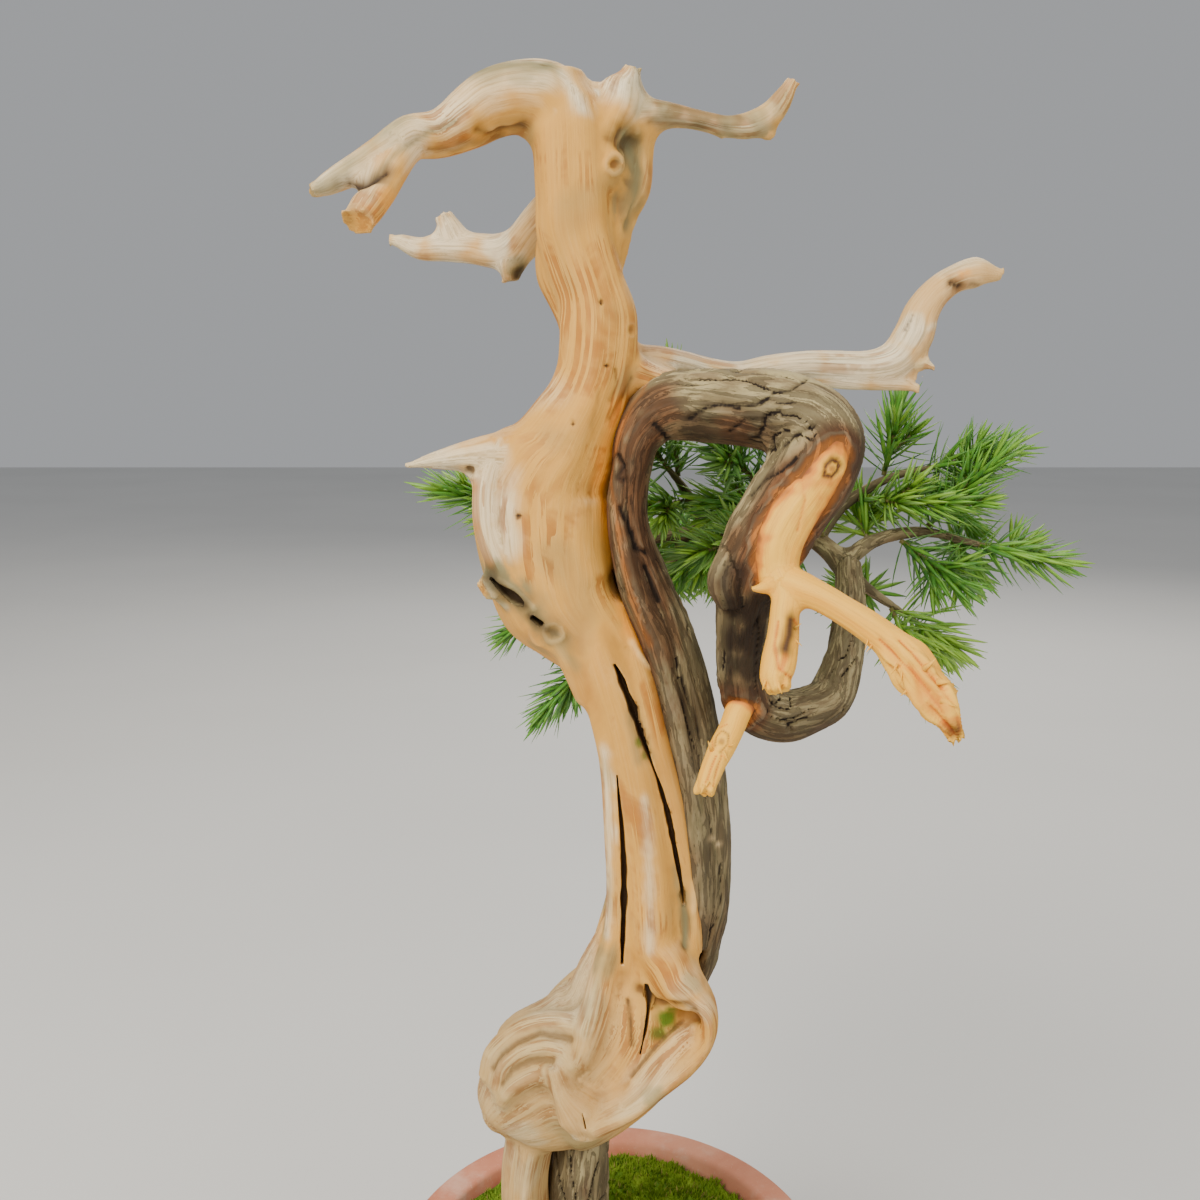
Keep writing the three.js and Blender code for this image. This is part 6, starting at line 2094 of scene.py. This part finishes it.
@dataclass
class Copies:
    """Many copies of one small shape, each with its own place and axes in millimetres."""

    template: Mesh
    rows: list[tuple[float, ...]] = field(default_factory=list)
    tints: list[float] = field(default_factory=list)

    def add(self, place: Vector, x: Vector, y: Vector, z: Vector, bow: Vector, tint: float) -> None:
        """Adds a copy.

        Args:
            place: Where its origin goes.
            x: Its X axis, at its size.
            y: Its Y axis, at its size.
            z: Its Z axis, at its size.
            bow: How far its end bends aside.
            tint: Its tint.
        """
        self.rows.append((*place, *x, *y, *z, *bow))
        self.tints.append(tint)

    def mesh(self) -> Mesh:
        """Puts the copies in one mesh.

        Returns:
            The mesh, in metres.
        """
        obj = linked(self.template, "copies")
        array = obj.modifiers.new("Copies", "ARRAY")
        array.count = len(self.rows)
        array.use_relative_offset = False
        mesh = applied(obj)
        shape = coordinates(self.template)
        rows = np.array(self.rows).reshape(-1, 5, 1, 3)
        place = rows[:, 0] + sum(rows[:, 1 + k] * shape[None, :, k, None] for k in range(3))
        place = place + rows[:, 4] * shape[None, :, 2, None] ** 2
        set_coordinates(mesh, place.reshape(-1, 3) * MM)
        store(mesh, "tint", np.repeat(self.tints, len(shape)))
        return mesh


def pot_inside(height: float) -> float:
    """Reads the inside of the pot.

    Args:
        height: A height in millimetres.

    Returns:
        Its inside radius there, in millimetres.
    """
    low = FOOT_RADIUS - POT_WALL
    high = RIM_RADIUS - RIM_WIDTH
    return low + (high - low) * (height - POT_FLOOR) / (POT_HEIGHT - POT_FLOOR)


def spun(outline: list[tuple[float, float]], steps: int) -> bmesh.types.BMesh:
    """Turns an outline about +Z into a closed body.

    Args:
        outline: Places of (radius, height) in millimetres, from the axis and back to it.
        steps: Steps round the body.

    Returns:
        The body, in metres.
    """
    bm = bmesh.new()
    verts = [bm.verts.new((radius * MM, 0, height * MM)) for radius, height in outline]
    edges = [bm.edges.new(pair) for pair in zip(verts, verts[1:])]
    bmesh.ops.spin(
        bm,
        geom=[*verts, *edges],
        cent=(0, 0, 0),
        axis=(0, 0, 1),
        angle=2 * math.pi,
        steps=steps,
        use_merge=True,
        use_duplicate=False,
    )
    bmesh.ops.remove_doubles(bm, verts=bm.verts, dist=SAME)
    bmesh.ops.recalc_face_normals(bm, faces=bm.faces)
    return bm


@dataclass(frozen=True)
class TerracottaFinish:
    """Weathered terracotta with a pale mineral bloom."""

    clay: Colour = (0.47, 0.16, 0.09)
    light: Colour = (0.60, 0.27, 0.17)
    bloom: Colour = (0.62, 0.45, 0.36)
    damp: Colour = (0.20, 0.075, 0.045)

    def material(self) -> Material:
        """Mixes the finish.

        Returns:
            The material.
        """
        sheet = Sheet("terracotta")
        place = sheet.place()
        cloud = sheet.noise(place, 22.0, 5.0, 0.6, 0.3)
        rings = sheet.drawn_noise(place, 8.0, 420.0, 3.0, 0.5)
        speck = sheet.noise(place, 900.0, 4.0, 0.7)
        clay = sheet.ramp(cloud, [(0.3, self.damp), (0.42, self.clay), (0.62, self.light)])
        clay = sheet.mix(sheet.span(rings, 0.4, 0.7, 0.0, 0.25), clay, self.light)
        clay = sheet.mix(sheet.span(speck, 0.58, 0.75, 0.0, 0.55), clay, self.bloom)
        chalk = sheet.times(sheet.span(sheet.noise(place, 45.0, 6.0, 0.7), 0.5, 0.68), 0.45)
        clay = sheet.mix(chalk, clay, self.bloom)
        height = sheet.maths("ADD", sheet.times(rings, 0.6), sheet.times(speck, 0.4))
        return sheet.finish(clay, sheet.span(speck, 0.3, 0.7, 0.7, 0.92), sheet.bump(height, 0.35, 0.5), 0.2)


@dataclass
class TerracottaPot:
    """The round pot with its collar and drain holes."""

    steps: int = 144
    edge_round: float = 1.5
    collar_slope: float = 1.5
    corner: float = math.radians(25)
    drain_radius: float = 5.0
    drain_circle: float = 24.0
    drain_count: int = 3

    def build(self) -> Object:
        """Makes the pot.

        Returns:
            The piece.
        """
        foot = POT_HEIGHT - COLLAR_HEIGHT
        collar = RIM_RADIUS - COLLAR_TAPER
        bm = spun(
            [
                (0, 0), (FOOT_RADIUS, 0), (collar - COLLAR_STEP, foot - self.collar_slope), (collar, foot),
                (RIM_RADIUS, POT_HEIGHT), (pot_inside(POT_HEIGHT), POT_HEIGHT),
                (pot_inside(POT_FLOOR), POT_FLOOR), (0, POT_FLOOR),
            ],
            self.steps,
        )
        rings = [e for e in bm.edges if self.is_corner(e)]
        bmesh.ops.bevel(
            bm, geom=rings, offset=self.edge_round * MM, affect="EDGES", segments=4, profile=0.5, material=-1
        )
        mesh = bored(made(bm, "pot"), self.drill())
        mesh.materials.clear()
        mesh.materials.append(TerracottaFinish().material())
        mesh.shade_smooth()
        mesh.set_sharp_from_angle(angle=math.radians(40))
        return ridden(mesh, "terracotta_pot", "terracotta", ("pot",))

    def is_corner(self, edge: bmesh.types.BMEdge) -> bool:
        """Tells the rings round the pot where its outline turns sharply.

        Args:
            edge: An edge.

        Returns:
            Whether it lies on such a ring.
        """
        level = abs(edge.verts[0].co.z - edge.verts[1].co.z) < SAME
        round_it = abs(edge.verts[0].co.xy.length - edge.verts[1].co.xy.length) < SAME
        return level and round_it and len(edge.link_faces) == 2 and edge.calc_face_angle(0.0) > self.corner

    def drill(self) -> Object:
        """Makes the drain holes as solids to cut with.

        Returns:
            Their object.
        """
        bm = bmesh.new()
        for i in range(self.drain_count):
            turn = i * 2 * math.pi / self.drain_count
            reach = self.drain_circle * MM
            place = Matrix.Translation((reach * math.cos(turn), reach * math.sin(turn), 0))
            bmesh.ops.create_cone(
                bm,
                cap_ends=True,
                segments=32,
                radius1=self.drain_radius * MM,
                radius2=self.drain_radius * MM,
                depth=4 * POT_FLOOR * MM,
                matrix=place,
            )
        return linked(made(bm, "drains"), "drains")


@dataclass(frozen=True)
class MossFinish:
    """Cushion moss: yellow-green tips over dark green."""

    deep: Colour = (0.02, 0.045, 0.006)
    green: Colour = (0.09, 0.17, 0.012)
    bright: Colour = (0.24, 0.34, 0.03)
    straw: Colour = (0.28, 0.22, 0.06)

    def material(self) -> Material:
        """Mixes the finish.

        Returns:
            The material.
        """
        sheet = Sheet("moss")
        place = sheet.place()
        cloud = sheet.noise(place, 90.0, 4.0, 0.6)
        tone = sheet.ramp(cloud, [(0.3, self.deep), (0.48, self.green), (0.7, self.bright)])
        tone = sheet.mix(sheet.times(sheet.attribute("along"), 0.6), tone, self.bright)
        tone = sheet.mix(sheet.span(sheet.attribute("tint"), 0.88, 0.95, 0.0, 0.7), tone, self.straw)
        speck = sheet.noise(place, 1200.0, 3.0, 0.6)
        return sheet.finish(tone, 0.9, sheet.bump(speck, 0.5, 0.7), 0.1)


@dataclass
class MossBed:
    """The cushion of moss over the soil, with its small shoots."""

    steps: int = 120
    rings: int = 34
    gap: float = 0.3
    tufts: int = 13000
    tuft_width: tuple[float, float] = (0.35, 0.6)
    tuft_height: tuple[float, float] = (1.2, 2.6)
    tuft_lean: float = 0.35
    tuft_sunk: float = 0.4
    seed: int = 7

    def build(self) -> Object:
        """Makes the moss.

        Returns:
            The piece.
        """
        bottom = SOIL_TOP + self.gap
        edge = pot_inside(bottom) - self.gap
        outline = [(0.0, bottom), (edge, bottom)]
        outline += [((edge + 1) * (1 - i / self.rings), MOSS_EDGE) for i in range(self.rings + 1)]
        bm = spun(outline, self.steps)
        bm.verts.layers.float.new("along")
        bm.verts.layers.float.new("tint")
        for v in bm.verts:
            if v.co.z > (MOSS_EDGE - 1) * MM:
                v.co.z = self.height(v.co.x / MM, v.co.y / MM) * MM
        mesh = fused([made(bm, "mound"), self.shoots(edge)], "moss")
        mesh.materials.append(MossFinish().material())
        return ridden(mesh, "moss_bed", "moss", ("moss",))

    def shoots(self, edge: float) -> Mesh:
        """Stands small shoots all over the mound.

        Args:
            edge: The mound's radius in millimetres.

        Returns:
            The shoots as one mesh.
        """
        bm = bmesh.new()
        bmesh.ops.create_cone(bm, cap_ends=True, segments=3, radius1=1, radius2=0, depth=1)
        template = made(bm, "shoot")
        co = coordinates(template) + np.array([0, 0, 0.5])
        set_coordinates(template, co)
        store(template, "along", co[:, 2])
        draws = random.Random(self.seed)
        tufts = Copies(template)
        for _ in range(self.tufts):
            radius = (edge + 0.5) * math.sqrt(draws.random())
            turn = draws.uniform(0, 2 * math.pi)
            x, y = radius * math.cos(turn), radius * math.sin(turn)
            lean = (draws.gauss(0, self.tuft_lean) + x / 160, draws.gauss(0, self.tuft_lean) + y / 160, 1)
            lean = Vector(lean).normalized()
            side, across = Foliage.cross_axes(lean)
            wide = draws.uniform(*self.tuft_width)
            place = Vector((x, y, self.height(x, y) - self.tuft_sunk))
            tall = draws.uniform(*self.tuft_height)
            tufts.add(place, side * wide, across * wide, lean * tall, Vector(), draws.random())
        mesh = tufts.mesh()
        bpy.data.meshes.remove(template)
        return mesh

    def height(self, x: float, y: float) -> float:
        """Reads the top of the moss at a place, all in millimetres.

        Args:
            x: The place across.
            y: The place in depth.

        Returns:
            The height there.
        """
        out = math.hypot(x, y) / (pot_inside(SOIL_TOP + self.gap) + 0.7)
        mound = MOSS_EDGE + (MOSS_CROWN - MOSS_EDGE) * math.sin(max(0.0, 1 - out) * math.pi / 2)
        bump = math.sin(x * 0.33 + 1) * math.cos(y * 0.29) + 0.6 * math.sin(x * 0.61 - y * 0.53)
        cushion = noise.noise((x / 7, y / 7, 3.3)) + 0.5 * noise.noise((x / 3, y / 3, 8.1))
        return mound + 0.9 * bump + 1.1 * cushion


@dataclass(frozen=True)
class SoilFinish:
    """Dark potting soil."""

    dark: Colour = (0.03, 0.02, 0.012)
    brown: Colour = (0.10, 0.06, 0.035)

    def material(self) -> Material:
        """Mixes the finish.

        Returns:
            The material.
        """
        sheet = Sheet("soil")
        grit = sheet.noise(sheet.place(), 500.0, 5.0, 0.7)
        colour = sheet.ramp(grit, [(0.35, self.dark), (0.65, self.brown)])
        return sheet.finish(colour, 0.95, sheet.bump(grit, 1.0, 0.8), 0.1)


@dataclass
class Studio:
    """The pale floor, the soft lights and the camera."""

    floor_size: float = 8.0
    key_power: float = 44.0
    fill_power: float = 10.0
    rim_power: float = 12.0
    sky_strength: float = 0.42
    sky: Colour = (0.9, 0.92, 0.95)
    warmth: Colour = (1.0, 0.94, 0.84)
    floor_dark: Colour = (0.60, 0.60, 0.59)
    floor_light: Colour = (0.64, 0.64, 0.63)
    lit: tuple[float, float, float] = (0.02, 0, 0.25)

    def build(self) -> None:
        """Sets everything up."""
        self.floor()
        self.light("key", (-0.75, -0.95, 1.25), self.key_power, 1.1)
        self.light("fill", (1.1, -0.7, 0.7), self.fill_power, 1.2)
        self.light("rim", (0.4, 1.2, 1.1), self.rim_power, 1.0)
        world = bpy.data.worlds.new("studio")
        world.use_nodes = True
        background = world.node_tree.nodes["Background"]
        background.inputs["Color"].default_value = (*self.sky, 1.0)
        background.inputs["Strength"].default_value = self.sky_strength
        bpy.context.scene.world = world
        self.camera()

    def floor(self) -> None:
        """A plain pale floor."""
        bm = bmesh.new()
        bmesh.ops.create_grid(bm, x_segments=1, y_segments=1, size=self.floor_size / 2)
        mesh = made(bm, "floor")
        sheet = Sheet("floor")
        tone = sheet.ramp(sheet.noise(sheet.place(), 2.0), [(0.3, self.floor_dark), (0.7, self.floor_light)])
        mesh.materials.append(sheet.finish(tone, 0.8, None, 0.2))
        linked(mesh, "floor")

    def light(self, name: str, place: tuple[float, float, float], power: float, size: float) -> None:
        """Sets up a soft square light that faces the tree.

        Args:
            name: The light's name.
            place: Its place in metres.
            power: Its power in watts.
            size: Its size in metres.
        """
        lamp = bpy.data.lights.new(name, "AREA")
        lamp.color = self.warmth
        lamp.energy = power
        lamp.size = size
        obj = bpy.data.objects.new(name, lamp)
        bpy.context.scene.collection.objects.link(obj)
        obj.location = place
        obj.rotation_euler = (Vector(self.lit) - Vector(place)).to_track_quat("-Z", "Y").to_euler()

    @staticmethod
    def camera() -> None:
        """The camera at the photograph's viewing angle."""
        data = bpy.data.cameras.new("camera")
        data.sensor_fit = "HORIZONTAL"
        data.angle = FIELD_OF_VIEW
        data.clip_start = 0.01
        obj = bpy.data.objects.new("camera", data)
        bpy.context.scene.collection.objects.link(obj)
        obj.location = Vector(CAMERA_PLACE) * MM
        obj.rotation_euler = (math.pi / 2 - CAMERA_DIP, 0, 0)
        bpy.context.scene.camera = obj


def main() -> None:
    """Builds the looks in order."""
    logging.basicConfig(level=logging.INFO, format="%(relativeCreated)d %(name)s: %(message)s")
    Studio().build()
    BareTrunk(
        name="bare_wood_trunk",
        slot="bare_wood",
        nodes=("bare_trunk",),
        limbs=bare_limbs(),
        clefts=TRUNK_CLEFTS,
        skin=0.76,
        patches=TRUNK_PATCHES,
        marks=TRUNK_MARKS,
        strokes=TRUNK_STROKES,
        kept=0.85,
    ).build()
    BarkedBranch(
        name="live_vein_and_branch",
        slot="bark",
        nodes=("barked_branch",),
        limbs=vein_limbs() + twig_limbs(),
        closing=1.0,
        skin=0.68,
        smoothing=3,
        patches=BRANCH_PATCHES,
        strokes=BRANCH_STROKES,
    ).build()
    PeeledWood(
        name="peeled_elbow_wood",
        slot="peeled_wood",
        nodes=("peeled_elbow",),
        limbs=elbow_limbs(),
        closing=0.8,
        skin=0.4,
        smoothing=3,
        whole=0,
        most_torn=2,
        patches=ELBOW_PATCHES,
        marks=ELBOW_MARKS,
        strokes=ELBOW_STROKES,
        splinters=ELBOW_SPLINTERS,
        relief=WornGrain(0.35, 0.4, 0.25, 0.3),
    ).build()
    PeeledWood(
        name="peeled_stub_wood",
        slot="peeled_wood",
        nodes=("peeled_stub",),
        limbs=[Limb(PEELED_LOW, sides=24, jag=1.0)],
        closing=0.8,
        skin=0.4,
        smoothing=3,
        marks=STUB_MARKS,
        strokes=STUB_STROKES,
        splinters=STUB_SPLINTERS,
        relief=WornGrain(0.3, 0.35, 0.2, 0.3),
    ).build()
    Foliage().build()
    MossBed().build()
    TerracottaPot().build()
    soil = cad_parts["soil"]
    soil.data.materials.clear()
    soil.data.materials.append(SoilFinish().material())


if __name__ == "__main__":
    main()
